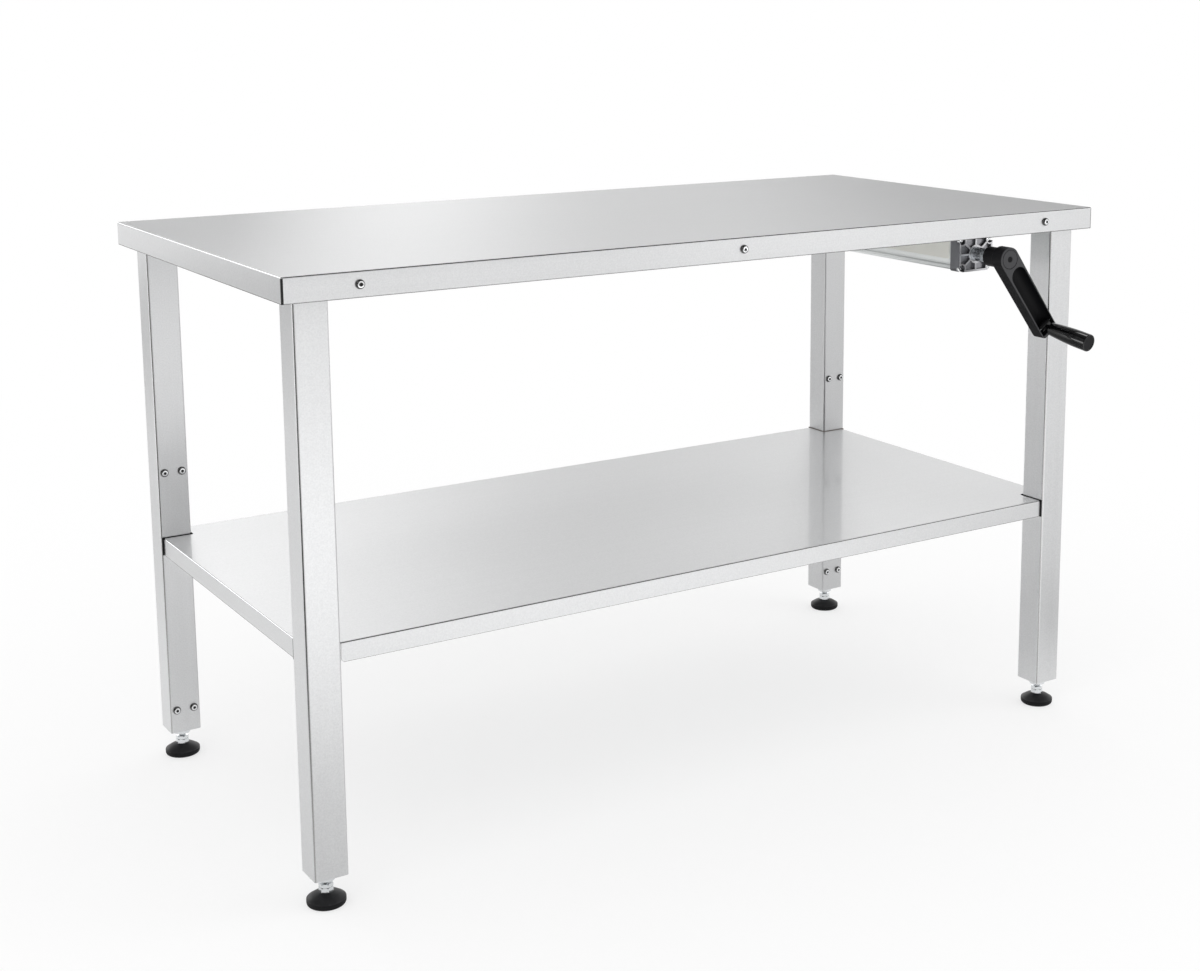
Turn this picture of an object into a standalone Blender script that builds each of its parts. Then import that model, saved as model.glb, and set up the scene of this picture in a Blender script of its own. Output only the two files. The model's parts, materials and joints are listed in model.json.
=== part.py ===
"""Crank-raised instrument table: a folded stainless top and shelf on four telescoping legs.

A hand crank turns a spindle in the pump under the top. The spindle drives a carriage with four
pistons, and each piston pushes oil to the lift cylinder inside one leg. Metres, +Z up, the origin
on the floor under the middle of the table, the front (crank) side towards -Y.
"""
import math

import bmesh
import bpy
from mathutils import Matrix

# Clearance between pieces that touch, slide or turn on each other
FIT_GAP = 0.0003

# Table top
TOP_LENGTH = 1.524
TOP_WIDTH = 0.762
TABLE_HEIGHT = 0.943
SKIRT_DEPTH = 0.038
TOP_SHEET = 0.0015
TOP_EDGE_RADIUS = 0.003

# Legs, set in from the edges of the top
LEG_SIZE = 0.053
LEG_WALL = 0.0016
LEG_CORNER_RADIUS = 0.004
LEG_INSET = 0.0235
LEG_BOTTOM = 0.049

# Channels under the top
RAIL_SHEET = 0.002
RAIL_RISE = 0.001
RAIL_BEND_SPARE = 0.001
HAT_WIDTH = 0.060
HAT_FLANGE = 0.014
HAT_SHEET = 0.002
HAT_RISE = 0.002

# Button-head bolts through the skirt
BOLT_DROP = 0.019
BOLT_FROM_LEG = 0.064
BOLT_RADIUS = 0.004
BOLT_LENGTH = 0.016
BOLT_HEAD_RADIUS = 0.007
BOLT_HEAD_HEIGHT = 0.0044
SOCKET_FLATS = 0.005
SOCKET_DEPTH = 0.0025

# Shelf
SHELF_TOP = 0.403
SHELF_SHEET = 0.0015
SHELF_FLANGE = 0.030
SHELF_SETBACK = 0.004
SHELF_BEND_RADIUS = 0.0025
SHELF_NOTCH_GAP = 0.002
SHELF_CORNER_CUT = 0.004
BRACKET_SHEET = 0.002
BRACKET_REACH = 0.032
BRACKET_HEIGHT = 0.024
BRACKET_MARGIN = 0.0025
SHELF_HAT_HEIGHT = 0.020

# Levelling feet
PAD_RADIUS = 0.0293
PAD_EDGE_RADIUS = 0.005
PAD_RIM = 0.0095
PAD_CROWN = 0.0012
PAD_HEIGHT = 0.0193
PAD_NECK_RADIUS = 0.011
STUD_RADIUS = 0.006
STUD_SEAT = 0.008
STUD_GRIP = 0.041
STUD_SPARE = 0.009
HEX_FLATS = 0.019
HEX_HEIGHT = 0.0075
NUT_HEIGHT = 0.0057
HEX_CHAMFER = 0.0012

# Lift cylinders inside the legs
LIFT_TRAVEL = 0.305
GLAND_RADIUS = 0.014
GLAND_LENGTH = 0.010
CYLINDER_RADIUS = 0.017
CYLINDER_BORE_RADIUS = 0.013
CYLINDER_FOOT_WALL = 0.013
CYLINDER_HEAD_WALL = 0.014
CYLINDER_HEADROOM = 0.005
CYLINDER_CLAMP_HEIGHT = 0.040
CYLINDER_CLAMP_LOW = 0.090
CYLINDER_CLAMP_HIGH = 0.517
CLAMP_CORNER_CUT = 0.003
ROD_RADIUS = 0.010
ROD_OVERLAP = 0.138
PISTON_HEIGHT = 0.025

# Pump under the top, on the axis of the crank
SHAFT_FROM_LEG = 0.1495
SHAFT_DROP = 0.0358
CAP_SETBACK = 0.054
CAP_WIDTH = 0.076
CAP_HEIGHT = 0.061
CAP_DEPTH = 0.025
CAP_CORNER_RADIUS = 0.005
CAP_RIM = 0.0035
CAP_POCKET_DEPTH = 0.006
CAP_BOSS_RADIUS = 0.0165
CAP_RIB_WIDTH = 0.0034
CAP_RIB_SETBACK = 0.0005
CAP_SCREW_INSET = 0.006
CAP_SEAT_BREAK = 0.0008
CAP_SEAT_DEPTH = 0.008
CAP_ARCH_WIDTH = 0.0025
REAR_CAP_DEPTH = 0.012
HOUSING_STEP = 0.002
HOUSING_WALL = 0.0045
HOUSING_CORNER_RADIUS = 0.004
HOUSING_GROOVE_WIDTH = 0.004
HOUSING_GROOVE_DEPTH = 0.0025
HOUSING_GROOVE_DROP = 0.018
HANGER_SLOT_WIDTH = 0.010
HANGER_SLOT_DEPTH = 0.0022
HANGER_WIDTH = 0.056
HANGER_LENGTH = 0.040
HANGER_FROM_END = 0.050
PUMP_AREA_RATIO = 1.5
PUMP_PISTON_RADIUS = 0.007
PUMP_PISTON_X = 0.020
PUMP_PISTON_Z = 0.0135
PUMP_PISTON_LEAD = 0.015
PUMP_PISTON_ROOT = 0.006
CARRIAGE_DEPTH = 0.020
CARRIAGE_END_GAP = 0.0015
BLOCK_END_WALL = 0.012
PORT_RADIUS = 0.0045
PORT_LENGTH = 0.016
PORT_BORE_RADIUS = 0.0022

# Spindle and its bearing
SPINDLE_RADIUS = 0.007
SPINDLE_NOSE = 0.030
SPINDLE_TAIL = 0.010
BEARING_RADIUS = 0.0123
BEARING_SEAT = 0.020

# Crank: the arm hangs at an angle and the handle droops a little past square
CRANK_ANGLE = math.radians(36.3)
HUB_STANDOFF = 0.033
HUB_RADIUS = 0.021
HUB_RING_RADIUS = 0.018
HUB_RING_WIDTH = 0.001
HUB_RING_DEPTH = 0.0008
NECK_RADIUS = 0.0173
NECK_LENGTH = 0.027
ARM_DEPTH = 0.025
ARM_LENGTH = 0.173
ARM_END_HALF = 0.019
ARM_CORNER_RADIUS = 0.008
ARM_END_ROUND = 0.012
ARM_EDGE_BEVEL = 0.001
ARM_WALL = 0.0018
TROUGH_TOP = 0.022
TROUGH_FLOOR = 0.0025
TROUGH_END_WALL = 0.006
HUB_SCREW_RADIUS = 0.003
HUB_SCREW_LENGTH = 0.018
HUB_SCREW_HEAD_RADIUS = 0.005
HUB_SCREW_HEAD_HEIGHT = 0.0028

# Folding handle
PIVOT_FROM_END = 0.0155
PIVOT_DEPTH = 0.010
PIVOT_BOSS_RADIUS = 0.0055
PIVOT_SIDE_GAP = 0.0005
HANDLE_DROOP = math.radians(12)
PIN_RADIUS = 0.003
PIN_SEAT = 0.0012
KNUCKLE_RADIUS = 0.008
KNUCKLE_HALF = 0.011
STEM_RADIUS = 0.005
STEM_COLLAR_RADIUS = 0.0085
GRIP_ROOT = 0.018
GRIP_REACH = 0.102
GRIP_END_WALL = 0.007
GRIP_ROOT_RADIUS = 0.0105
GRIP_END_RADIUS = 0.0155
GRIP_EDGE = 0.0015
GRIP_SWELL_SHARE = 0.8

# Facets
ARC_STEPS = 3
SMALL_SIDES = 12
ROUND_SIDES = 24
BARREL_SIDES = 18
PAD_SIDES = 24
GRIP_STEPS = 6

# Places worked out from the sizes above
SKIRT_BOTTOM = TABLE_HEIGHT - SKIRT_DEPTH
SHEET_UNDERSIDE = TABLE_HEIGHT - TOP_SHEET
FRAME_TOP = SHEET_UNDERSIDE - FIT_GAP
LEG_X = TOP_LENGTH / 2 - LEG_INSET - LEG_SIZE / 2
LEG_Y = TOP_WIDTH / 2 - LEG_INSET - LEG_SIZE / 2
LEG_OUTER_X = LEG_X + LEG_SIZE / 2
LEG_OUTER_Y = LEG_Y + LEG_SIZE / 2
LEG_INNER_X = LEG_X - LEG_SIZE / 2
LEG_INNER_Y = LEG_Y - LEG_SIZE / 2
RAIL_OUTER_X = TOP_LENGTH / 2 - TOP_SHEET - FIT_GAP
RAIL_OUTER_Y = TOP_WIDTH / 2 - TOP_SHEET - FIT_GAP
RAIL_INNER_X = LEG_OUTER_X + FIT_GAP
RAIL_INNER_Y = LEG_OUTER_Y + FIT_GAP
RAIL_BEND = TOP_EDGE_RADIUS - TOP_SHEET + RAIL_BEND_SPARE
CROSS_HALF_LENGTH = RAIL_INNER_Y - FIT_GAP
HAT_HEIGHT = FRAME_TOP - SKIRT_BOTTOM - HAT_RISE
BOLT_X = LEG_X - BOLT_FROM_LEG
BOLT_Z = TABLE_HEIGHT - BOLT_DROP
SHELF_UNDERSIDE = SHELF_TOP - SHELF_SHEET
SHELF_EDGE_X = LEG_OUTER_X - SHELF_SETBACK
SHELF_EDGE_Y = LEG_OUTER_Y - SHELF_SETBACK
SHELF_NOTCH_X = LEG_INNER_X - SHELF_NOTCH_GAP
SHELF_NOTCH_Y = LEG_INNER_Y - SHELF_NOTCH_GAP
GLAND_BOTTOM = LEG_BOTTOM - GLAND_LENGTH
CYLINDER_BORE_BOTTOM = LEG_BOTTOM + CYLINDER_FOOT_WALL
PISTON_BOTTOM = CYLINDER_BORE_BOTTOM + LIFT_TRAVEL + ROD_OVERLAP
PISTON_TOP = PISTON_BOTTOM + PISTON_HEIGHT
CYLINDER_BORE_TOP = PISTON_TOP + CYLINDER_HEADROOM
CYLINDER_TOP = CYLINDER_BORE_TOP + CYLINDER_HEAD_WALL
HEX_BOTTOM = PAD_HEIGHT + FIT_GAP
NUT_BOTTOM = HEX_BOTTOM + HEX_HEIGHT + FIT_GAP
STUD_TOP = GLAND_BOTTOM + STUD_GRIP
SHAFT_X = LEG_INNER_X - SHAFT_FROM_LEG
SHAFT_Z = SKIRT_BOTTOM - SHAFT_DROP
HUB_FRONT = -TOP_WIDTH / 2 - HUB_STANDOFF
NECK_BACK = HUB_FRONT + ARM_DEPTH + NECK_LENGTH
TROUGH_HALF = ARM_END_HALF - ARM_WALL
PIVOT_REACH = ARM_LENGTH - PIVOT_FROM_END
PIN_HALF = TROUGH_HALF + PIN_SEAT
CAP_FRONT = -TOP_WIDTH / 2 + CAP_SETBACK
CAP_BACK = CAP_FRONT + CAP_DEPTH
CAP_SEAT_RADIUS = CAP_SCREW_INSET + CAP_SEAT_BREAK
PUMP_STROKE = LIFT_TRAVEL / PUMP_AREA_RATIO
HOUSING_WIDTH = CAP_WIDTH - 2 * HOUSING_STEP
HOUSING_HEIGHT = CAP_HEIGHT - 2 * HOUSING_STEP
CAVITY_WIDTH = HOUSING_WIDTH - 2 * HOUSING_WALL
CAVITY_HEIGHT = HOUSING_HEIGHT - 2 * HOUSING_WALL
CARRIAGE_FRONT = CAP_BACK + CARRIAGE_END_GAP
CARRIAGE_BACK = CARRIAGE_FRONT + CARRIAGE_DEPTH
BLOCK_FRONT = CARRIAGE_BACK + PUMP_STROKE + CARRIAGE_END_GAP
PISTON_TIP = CARRIAGE_BACK + PUMP_STROKE + PUMP_PISTON_LEAD
BLOCK_BORE_END = PISTON_TIP + PUMP_STROKE + CARRIAGE_END_GAP
BLOCK_BACK = BLOCK_BORE_END + BLOCK_END_WALL
HOUSING_FRONT = CAP_BACK + FIT_GAP
HOUSING_BACK = BLOCK_BACK
CARRIER_BOTTOM = FRAME_TOP - HAT_HEIGHT
HOUSING_TOP = SHAFT_Z + HOUSING_HEIGHT / 2

CORNERS = {
    "front_left": (-1, -1),
    "front_right": (1, -1),
    "rear_left": (-1, 1),
    "rear_right": (1, 1),
}

# Axes that an outline or a turned profile is laid along
ALONG_X = Matrix(((0, 0, 1, 0), (1, 0, 0, 0), (0, 1, 0, 0), (0, 0, 0, 1)))
ALONG_Y = Matrix(((1, 0, 0, 0), (0, 0, -1, 0), (0, 1, 0, 0), (0, 0, 0, 1)))
ALONG_Z = Matrix.Identity(4)


def shift(x=0.0, y=0.0, z=0.0):
    return Matrix.Translation((x, y, z))


# Scene helpers
def new_collection(name):
    collection = bpy.data.collections.new(name)
    bpy.context.scene.collection.children.link(collection)
    return collection


def new_material(name, color, roughness, metallic):
    material = bpy.data.materials.new(name)
    material.use_nodes = True
    shader = material.node_tree.nodes["Principled BSDF"]
    shader.inputs["Base Color"].default_value = (*color, 1.0)
    shader.inputs["Roughness"].default_value = roughness
    shader.inputs["Metallic"].default_value = metallic
    return material


def pivot(name, location, rotation=(0, 0, 0), parent=None):
    """An empty on a joint's axis, which the moving pieces hang from."""
    empty = bpy.data.objects.new(name, None)
    empty.location = location
    empty.rotation_euler = rotation
    empty.parent = parent
    parts.objects.link(empty)
    return empty


def add_piece(name, mesh, material, parent=None, location=(0, 0, 0)):
    if not mesh.materials:
        mesh.materials.append(material)
    mesh.shade_smooth()
    mesh.set_sharp_from_angle(angle=math.radians(35))
    piece = bpy.data.objects.new(name, mesh)
    piece.parent = parent
    piece.location = location
    parts.objects.link(piece)
    return piece


def boolean(piece, operation, mesh):
    """Joins or cuts a piece with a helper solid that is given in the piece's own coordinates."""
    helper = bpy.data.objects.new(f"{piece.name}_{operation.lower()}", mesh)
    helper.parent = piece.parent
    helper.location = piece.location
    helper.hide_render = True
    helper.display_type = "WIRE"
    cutters.objects.link(helper)
    modifier = piece.modifiers.new(helper.name, "BOOLEAN")
    modifier.operation = operation
    modifier.object = helper


def join(piece, *meshes):
    for mesh in meshes:
        boolean(piece, "UNION", mesh)


def cut(piece, *meshes):
    for mesh in meshes:
        boolean(piece, "DIFFERENCE", mesh)


def evaluated_mesh(obj):
    bpy.context.view_layer.update()
    graph = bpy.context.evaluated_depsgraph_get()
    return bpy.data.meshes.new_from_object(obj.evaluated_get(graph))


def settle(piece):
    """Bakes the modifiers of a piece that repeats, so that its copies can share the mesh."""
    mesh = evaluated_mesh(piece)
    helpers = [modifier.object for modifier in piece.modifiers if modifier.type == "BOOLEAN"]
    piece.modifiers.clear()
    piece.data = mesh
    for helper in helpers:
        bpy.data.objects.remove(helper)
    return mesh


# Outlines
def arc(center, radius, start, end, steps):
    """Points from one angle to another, in degrees."""
    angles = [math.radians(start + (end - start) * k / steps) for k in range(steps + 1)]
    return [(center[0] + radius * math.cos(a), center[1] + radius * math.sin(a)) for a in angles]


def circle(radius, sides, center=(0, 0)):
    return arc(center, radius, 0, 360, sides)[:-1]


def hexagon(flats):
    return circle(flats / math.sqrt(3), 6)


def rounded_rectangle(width, height, radius):
    x = width / 2 - radius
    y = height / 2 - radius
    points = []
    for quarter, center in enumerate(((x, y), (-x, y), (-x, -y), (x, -y))):
        points += arc(center, radius, 90 * quarter, 90 * quarter + 90, ARC_STEPS)
    return points


def hat_outline(width, height, flange, sheet):
    """A hat channel seen along its length, hanging down from its two flanges at height 0."""
    half = [
        (width / 2, 0),
        (width / 2, -sheet),
        (width / 2 - flange + sheet, -sheet),
        (width / 2 - flange + sheet, -height),
    ]
    inner = [(width / 2 - flange, -height + sheet), (width / 2 - flange, 0)]
    left = [(-x, z) for x, z in reversed(half)]
    left_inner = [(-x, z) for x, z in reversed(inner)]
    return half + left + left_inner + inner


def channel_outline(depth, height, sheet, bend):
    """A channel seen along its length: web at 0, flanges towards +, middle at height 0."""
    half = height / 2
    return [
        (depth, -half),
        (depth, -half + sheet),
        (sheet, -half + sheet),
        (sheet, half - sheet),
        (depth, half - sheet),
        (depth, half),
        *arc((bend, half - bend), bend, 90, 180, ARC_STEPS),
        *arc((bend, bend - half), bend, 180, 270, ARC_STEPS),
    ]


# Solids
def clean(mesh):
    bm = bmesh.new()
    bm.from_mesh(mesh)
    bmesh.ops.remove_doubles(bm, verts=bm.verts, dist=1e-6)
    bmesh.ops.recalc_face_normals(bm, faces=bm.faces)
    bm.to_mesh(mesh)
    bm.free()
    return mesh


def prism(loops, depth, placed=ALONG_Z):
    """A flat outline, followed by the outlines of its holes, given a depth about its middle."""
    curve = bpy.data.curves.new("outline", "CURVE")
    curve.dimensions = "2D"
    curve.fill_mode = "BOTH"
    curve.extrude = depth / 2
    for loop in loops:
        spline = curve.splines.new("POLY")
        spline.points.add(len(loop) - 1)
        for point, (x, y) in zip(spline.points, loop):
            point.co = (x, y, 0, 1)
        spline.use_cyclic_u = True
    guide = bpy.data.objects.new("outline", curve)
    cutters.objects.link(guide)
    mesh = evaluated_mesh(guide)
    bpy.data.objects.remove(guide)
    mesh.transform(placed)
    return clean(mesh)


def turned(profile, sides, placed=ALONG_Z):
    """A profile of (radius, height) points, from the top down its outer side, turned about Z."""
    mesh = bpy.data.meshes.new("profile")
    edges = [(k, k + 1) for k in range(len(profile) - 1)]
    mesh.from_pydata([(r, 0, z) for r, z in profile], edges, [])
    guide = bpy.data.objects.new("profile", mesh)
    screw = guide.modifiers.new("turn", "SCREW")
    screw.steps = sides
    screw.render_steps = sides
    screw.use_merge_vertices = True
    screw.merge_threshold = 1e-5
    cutters.objects.link(guide)
    solid = evaluated_mesh(guide)
    bpy.data.objects.remove(guide)
    solid.transform(placed)
    return clean(solid)


def rod(radius, bottom, top, sides, placed=ALONG_Z):
    return turned([(0, top), (radius, top), (radius, bottom), (0, bottom)], sides, placed)


def sleeve(outer, inner, bottom, top, sides, placed=ALONG_Z):
    profile = [(inner, bottom), (inner, top), (outer, top), (outer, bottom), (inner, bottom)]
    return turned(profile, sides, placed)


def chamfered_hexagon(flats, bottom, top):
    """A hexagon whose corners are turned off at both ends, as on a nut."""
    corner = flats / math.sqrt(3)
    edge = corner - HEX_CHAMFER
    profile = [
        (0, top),
        (edge, top),
        (corner + HEX_CHAMFER, top - HEX_CHAMFER),
        (corner + HEX_CHAMFER, bottom + HEX_CHAMFER),
        (edge, bottom),
        (0, bottom),
    ]
    blank = add_piece("hexagon", prism([hexagon(flats)], top - bottom + HEX_CHAMFER), zinc)
    blank.data.transform(shift(z=(top + bottom) / 2))
    boolean(blank, "INTERSECT", turned(profile, ROUND_SIDES))
    mesh = settle(blank)
    bpy.data.objects.remove(blank)
    return mesh


# Top and the channels under it
def make_tabletop():
    bm = bmesh.new()
    bmesh.ops.create_cube(bm, size=1)
    bmesh.ops.scale(bm, vec=(TOP_LENGTH, TOP_WIDTH, SKIRT_DEPTH), verts=bm.verts)
    bmesh.ops.translate(bm, vec=(0, 0, TABLE_HEIGHT - SKIRT_DEPTH / 2), verts=bm.verts)
    underside = [face for face in bm.faces if face.normal.z < -0.5]
    bmesh.ops.delete(bm, geom=underside, context="FACES")
    bends = [edge for edge in bm.edges if not edge.is_boundary]
    bmesh.ops.bevel(
        bm,
        geom=bends,
        offset=TOP_EDGE_RADIUS,
        segments=ARC_STEPS,
        profile=0.5,
        affect="EDGES",
    )
    mesh = bpy.data.meshes.new("tabletop")
    bm.to_mesh(mesh)
    bm.free()
    top = add_piece("tabletop", mesh, stainless)
    sheet = top.modifiers.new("sheet", "SOLIDIFY")
    sheet.thickness = TOP_SHEET
    sheet.offset = -1
    sheet.use_even_offset = True
    cut(top, *bolt_holes(-1), *bolt_holes(1))


def bolt_holes(side):
    """Three drills through the skirt and the rail of the front (-1) or the rear (1)."""
    drill = BOLT_RADIUS + FIT_GAP
    skirt = side * TOP_WIDTH / 2
    placed = [shift(x, skirt, BOLT_Z) @ ALONG_Y for x in (-BOLT_X, 0, BOLT_X)]
    return [rod(drill, -BOLT_LENGTH, BOLT_LENGTH, SMALL_SIDES, place) for place in placed]


def make_rails():
    bottom = SKIRT_BOTTOM + RAIL_RISE
    height = FRAME_TOP - bottom
    middle = (FRAME_TOP + bottom) / 2
    long_outline = channel_outline(RAIL_OUTER_Y - RAIL_INNER_Y, height, RAIL_SHEET, RAIL_BEND)
    end_outline = channel_outline(RAIL_OUTER_X - RAIL_INNER_X, height, RAIL_SHEET, RAIL_BEND)
    front_placed = shift(0, -RAIL_OUTER_Y, middle) @ ALONG_X
    left_placed = shift(-RAIL_OUTER_X, 0, middle) @ ALONG_Y
    half_turn = Matrix.Rotation(math.pi, 4, "Z")
    for name, side in (("front_rail", -1), ("rear_rail", 1)):
        placed = front_placed if side < 0 else half_turn @ front_placed
        rail = add_piece(name, prism([long_outline], 2 * (RAIL_OUTER_X - RAIL_BEND), placed), stainless)
        cut(rail, *bolt_holes(side))
    for name, placed in (("left_rail", left_placed), ("right_rail", half_turn @ left_placed)):
        add_piece(name, prism([end_outline], 2 * CROSS_HALF_LENGTH, placed), stainless)


def make_cross_channels():
    outline = hat_outline(HAT_WIDTH, HAT_HEIGHT, HAT_FLANGE, HAT_SHEET)
    mesh = prism([outline], 2 * CROSS_HALF_LENGTH, ALONG_Y)
    stations = {"stiffener_left": -SHAFT_X, "stiffener_middle": 0, "pump_carrier": SHAFT_X}
    for name, x in stations.items():
        add_piece(name, mesh, stainless, location=(x, 0, FRAME_TOP))


def make_skirt_bolts():
    """A domed head with a hexagon socket, on a shank that reaches through skirt and rail."""
    crown = BOLT_HEAD_HEIGHT
    profile = [
        (0, crown),
        (0.62 * BOLT_HEAD_RADIUS, 0.93 * crown),
        (0.88 * BOLT_HEAD_RADIUS, 0.62 * crown),
        (BOLT_HEAD_RADIUS, 0.2 * crown),
        (BOLT_HEAD_RADIUS, 0),
        (BOLT_RADIUS, 0),
        (BOLT_RADIUS, -BOLT_LENGTH),
        (0, -BOLT_LENGTH),
    ]
    first = add_piece("skirt_bolt_1", turned(profile, SMALL_SIDES, ALONG_Y), zinc)
    socket = prism([hexagon(SOCKET_FLATS)], 2 * SOCKET_DEPTH, ALONG_Y)
    socket.transform(shift(y=-crown))
    cut(first, socket)
    mesh = settle(first)
    seat = TOP_WIDTH / 2 + FIT_GAP
    stations = [(x, side) for side in (-1, 1) for x in (-BOLT_X, 0, BOLT_X)]
    for count, (x, side) in enumerate(stations, 1):
        bolt = first if count == 1 else add_piece(f"skirt_bolt_{count}", mesh, zinc)
        bolt.location = (x, side * seat, BOLT_Z)
        bolt.rotation_euler.z = math.pi if side > 0 else 0


# Legs, lift cylinders and feet
def make_legs():
    inner = LEG_SIZE - 2 * LEG_WALL
    inner_radius = LEG_CORNER_RADIUS - LEG_WALL
    loops = [
        rounded_rectangle(LEG_SIZE, LEG_SIZE, LEG_CORNER_RADIUS),
        rounded_rectangle(inner, inner, inner_radius),
    ]
    mesh = prism(loops, FRAME_TOP - LEG_BOTTOM)
    for corner, (x, y) in CORNERS.items():
        middle = (FRAME_TOP + LEG_BOTTOM) / 2
        add_piece(f"leg_{corner}", mesh, stainless, location=(x * LEG_X, y * LEG_Y, middle))


def make_lift_cylinders():
    """A barrel with its gland below the leg, clamped in the leg by two blocks."""
    barrel = [
        (0, CYLINDER_TOP),
        (CYLINDER_RADIUS, CYLINDER_TOP),
        (CYLINDER_RADIUS, LEG_BOTTOM),
        (GLAND_RADIUS, LEG_BOTTOM),
        (GLAND_RADIUS, GLAND_BOTTOM),
        (0, GLAND_BOTTOM),
    ]
    guide_radius = ROD_RADIUS + FIT_GAP
    bore = [
        (0, CYLINDER_BORE_TOP),
        (CYLINDER_BORE_RADIUS, CYLINDER_BORE_TOP),
        (CYLINDER_BORE_RADIUS, CYLINDER_BORE_BOTTOM),
        (guide_radius, CYLINDER_BORE_BOTTOM),
        (guide_radius, GLAND_BOTTOM - GLAND_LENGTH),
        (0, GLAND_BOTTOM - GLAND_LENGTH),
    ]
    first = add_piece("lift_cylinder", turned(barrel, BARREL_SIDES), zinc)
    inner = LEG_SIZE - 2 * LEG_WALL - 2 * FIT_GAP
    clamp_radius = max(LEG_CORNER_RADIUS - LEG_WALL, 0) + CLAMP_CORNER_CUT
    clamp = rounded_rectangle(inner, inner, clamp_radius)
    for height in (CYLINDER_CLAMP_LOW, CYLINDER_CLAMP_HIGH):
        join(first, prism([clamp], CYLINDER_CLAMP_HEIGHT, shift(z=height)))
    cut(first, turned(bore, BARREL_SIDES))
    mesh = settle(first)
    bpy.data.objects.remove(first)
    for corner, (x, y) in CORNERS.items():
        add_piece(f"lift_cylinder_{corner}", mesh, zinc, location=(x * LEG_X, y * LEG_Y, 0))


def make_feet():
    """Each rod, stud, nut and pad hangs from an empty on its leg's axis."""
    thread_bore = STUD_RADIUS + FIT_GAP
    rod_profile = [
        (0, PISTON_TOP),
        (CYLINDER_BORE_RADIUS - FIT_GAP, PISTON_TOP),
        (CYLINDER_BORE_RADIUS - FIT_GAP, PISTON_BOTTOM),
        (ROD_RADIUS, PISTON_BOTTOM),
        (ROD_RADIUS, GLAND_BOTTOM),
        (thread_bore, GLAND_BOTTOM),
        (thread_bore, STUD_TOP + STUD_SPARE),
        (0, STUD_TOP + STUD_SPARE),
    ]
    rod_mesh = turned(rod_profile, BARREL_SIDES)
    edge = (PAD_RADIUS - PAD_EDGE_RADIUS, PAD_EDGE_RADIUS)
    pad_profile = [
        (0, STUD_SEAT),
        (thread_bore, STUD_SEAT),
        (thread_bore, PAD_HEIGHT),
        *pad_crown(),
        *arc(edge, PAD_EDGE_RADIUS, 0, -90, ARC_STEPS),
        (0, 0),
    ]
    pad_mesh = turned(pad_profile, PAD_SIDES)
    stud = add_piece("stud", rod(STUD_RADIUS, STUD_SEAT + FIT_GAP, STUD_TOP, SMALL_SIDES), zinc)
    join(stud, chamfered_hexagon(HEX_FLATS, HEX_BOTTOM, HEX_BOTTOM + HEX_HEIGHT))
    stud_mesh = settle(stud)
    bpy.data.objects.remove(stud)
    nut_top = NUT_BOTTOM + NUT_HEIGHT
    nut = add_piece("nut", chamfered_hexagon(HEX_FLATS, NUT_BOTTOM, nut_top), zinc)
    cut(nut, rod(thread_bore, 0, nut_top + NUT_HEIGHT, SMALL_SIDES))
    nut_mesh = settle(nut)
    bpy.data.objects.remove(nut)
    for corner, (x, y) in CORNERS.items():
        axis = pivot(f"leg_axis_{corner}", (x * LEG_X, y * LEG_Y, 0))
        add_piece(f"piston_rod_{corner}", rod_mesh, chrome, axis)
        add_piece(f"foot_stud_{corner}", stud_mesh, zinc, axis)
        add_piece(f"jam_nut_{corner}", nut_mesh, zinc, axis)
        add_piece(f"foot_pad_{corner}", pad_mesh, rubber, axis)


def pad_crown():
    """The pad's top from its neck to its rim, a little higher than a straight cone."""
    points = []
    for k in range(ARC_STEPS + 1):
        share = k / ARC_STEPS
        radius = PAD_NECK_RADIUS + (PAD_RADIUS - PAD_NECK_RADIUS) * share
        height = PAD_HEIGHT + (PAD_RIM - PAD_HEIGHT) * share
        points.append((radius, height + 4 * PAD_CROWN * share * (1 - share)))
    return points


# Shelf
def make_shelf():
    """A sheet notched at its corners, with a flange bent down along each of its four sides."""
    x_edge, y_edge = SHELF_EDGE_X, SHELF_EDGE_Y
    x_notch, y_notch = SHELF_NOTCH_X, SHELF_NOTCH_Y
    quarter = [(x_edge, y_notch), (x_notch, y_notch), (x_notch, y_edge)]
    outline = quarter + [(-x, y) for x, y in reversed(quarter)]
    outline += [(-x, -y) for x, y in quarter] + [(x, -y) for x, y in reversed(quarter)]
    bm = bmesh.new()
    bm.faces.new([bm.verts.new((x, y, SHELF_TOP)) for x, y in outline])
    bm.normal_update()
    sides = [edge for edge in bm.edges if on_shelf_side(edge)]
    made = bmesh.ops.extrude_edge_only(bm, edges=sides)["geom"]
    lower = [vert for vert in made if isinstance(vert, bmesh.types.BMVert)]
    bmesh.ops.translate(bm, vec=(0, 0, -SHELF_FLANGE), verts=lower)
    bmesh.ops.recalc_face_normals(bm, faces=bm.faces)
    bmesh.ops.bevel(
        bm,
        geom=lower,
        offset=SHELF_CORNER_CUT,
        segments=ARC_STEPS,
        profile=0.5,
        affect="VERTICES",
    )
    bends = [edge for edge in bm.edges if not edge.is_boundary]
    bmesh.ops.bevel(
        bm,
        geom=bends,
        offset=SHELF_BEND_RADIUS,
        segments=ARC_STEPS,
        profile=0.5,
        affect="EDGES",
    )
    mesh = bpy.data.meshes.new("shelf")
    bm.to_mesh(mesh)
    bm.free()
    shelf = add_piece("shelf", mesh, stainless)
    sheet = shelf.modifiers.new("sheet", "SOLIDIFY")
    sheet.thickness = SHELF_SHEET
    sheet.offset = -1
    sheet.use_even_offset = True


def on_shelf_side(edge):
    first, last = (vert.co for vert in edge.verts)
    along_y = first.x == last.x and math.isclose(abs(first.x), SHELF_EDGE_X, rel_tol=1e-6)
    along_x = first.y == last.y and math.isclose(abs(first.y), SHELF_EDGE_Y, rel_tol=1e-6)
    return along_x or along_y


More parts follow.
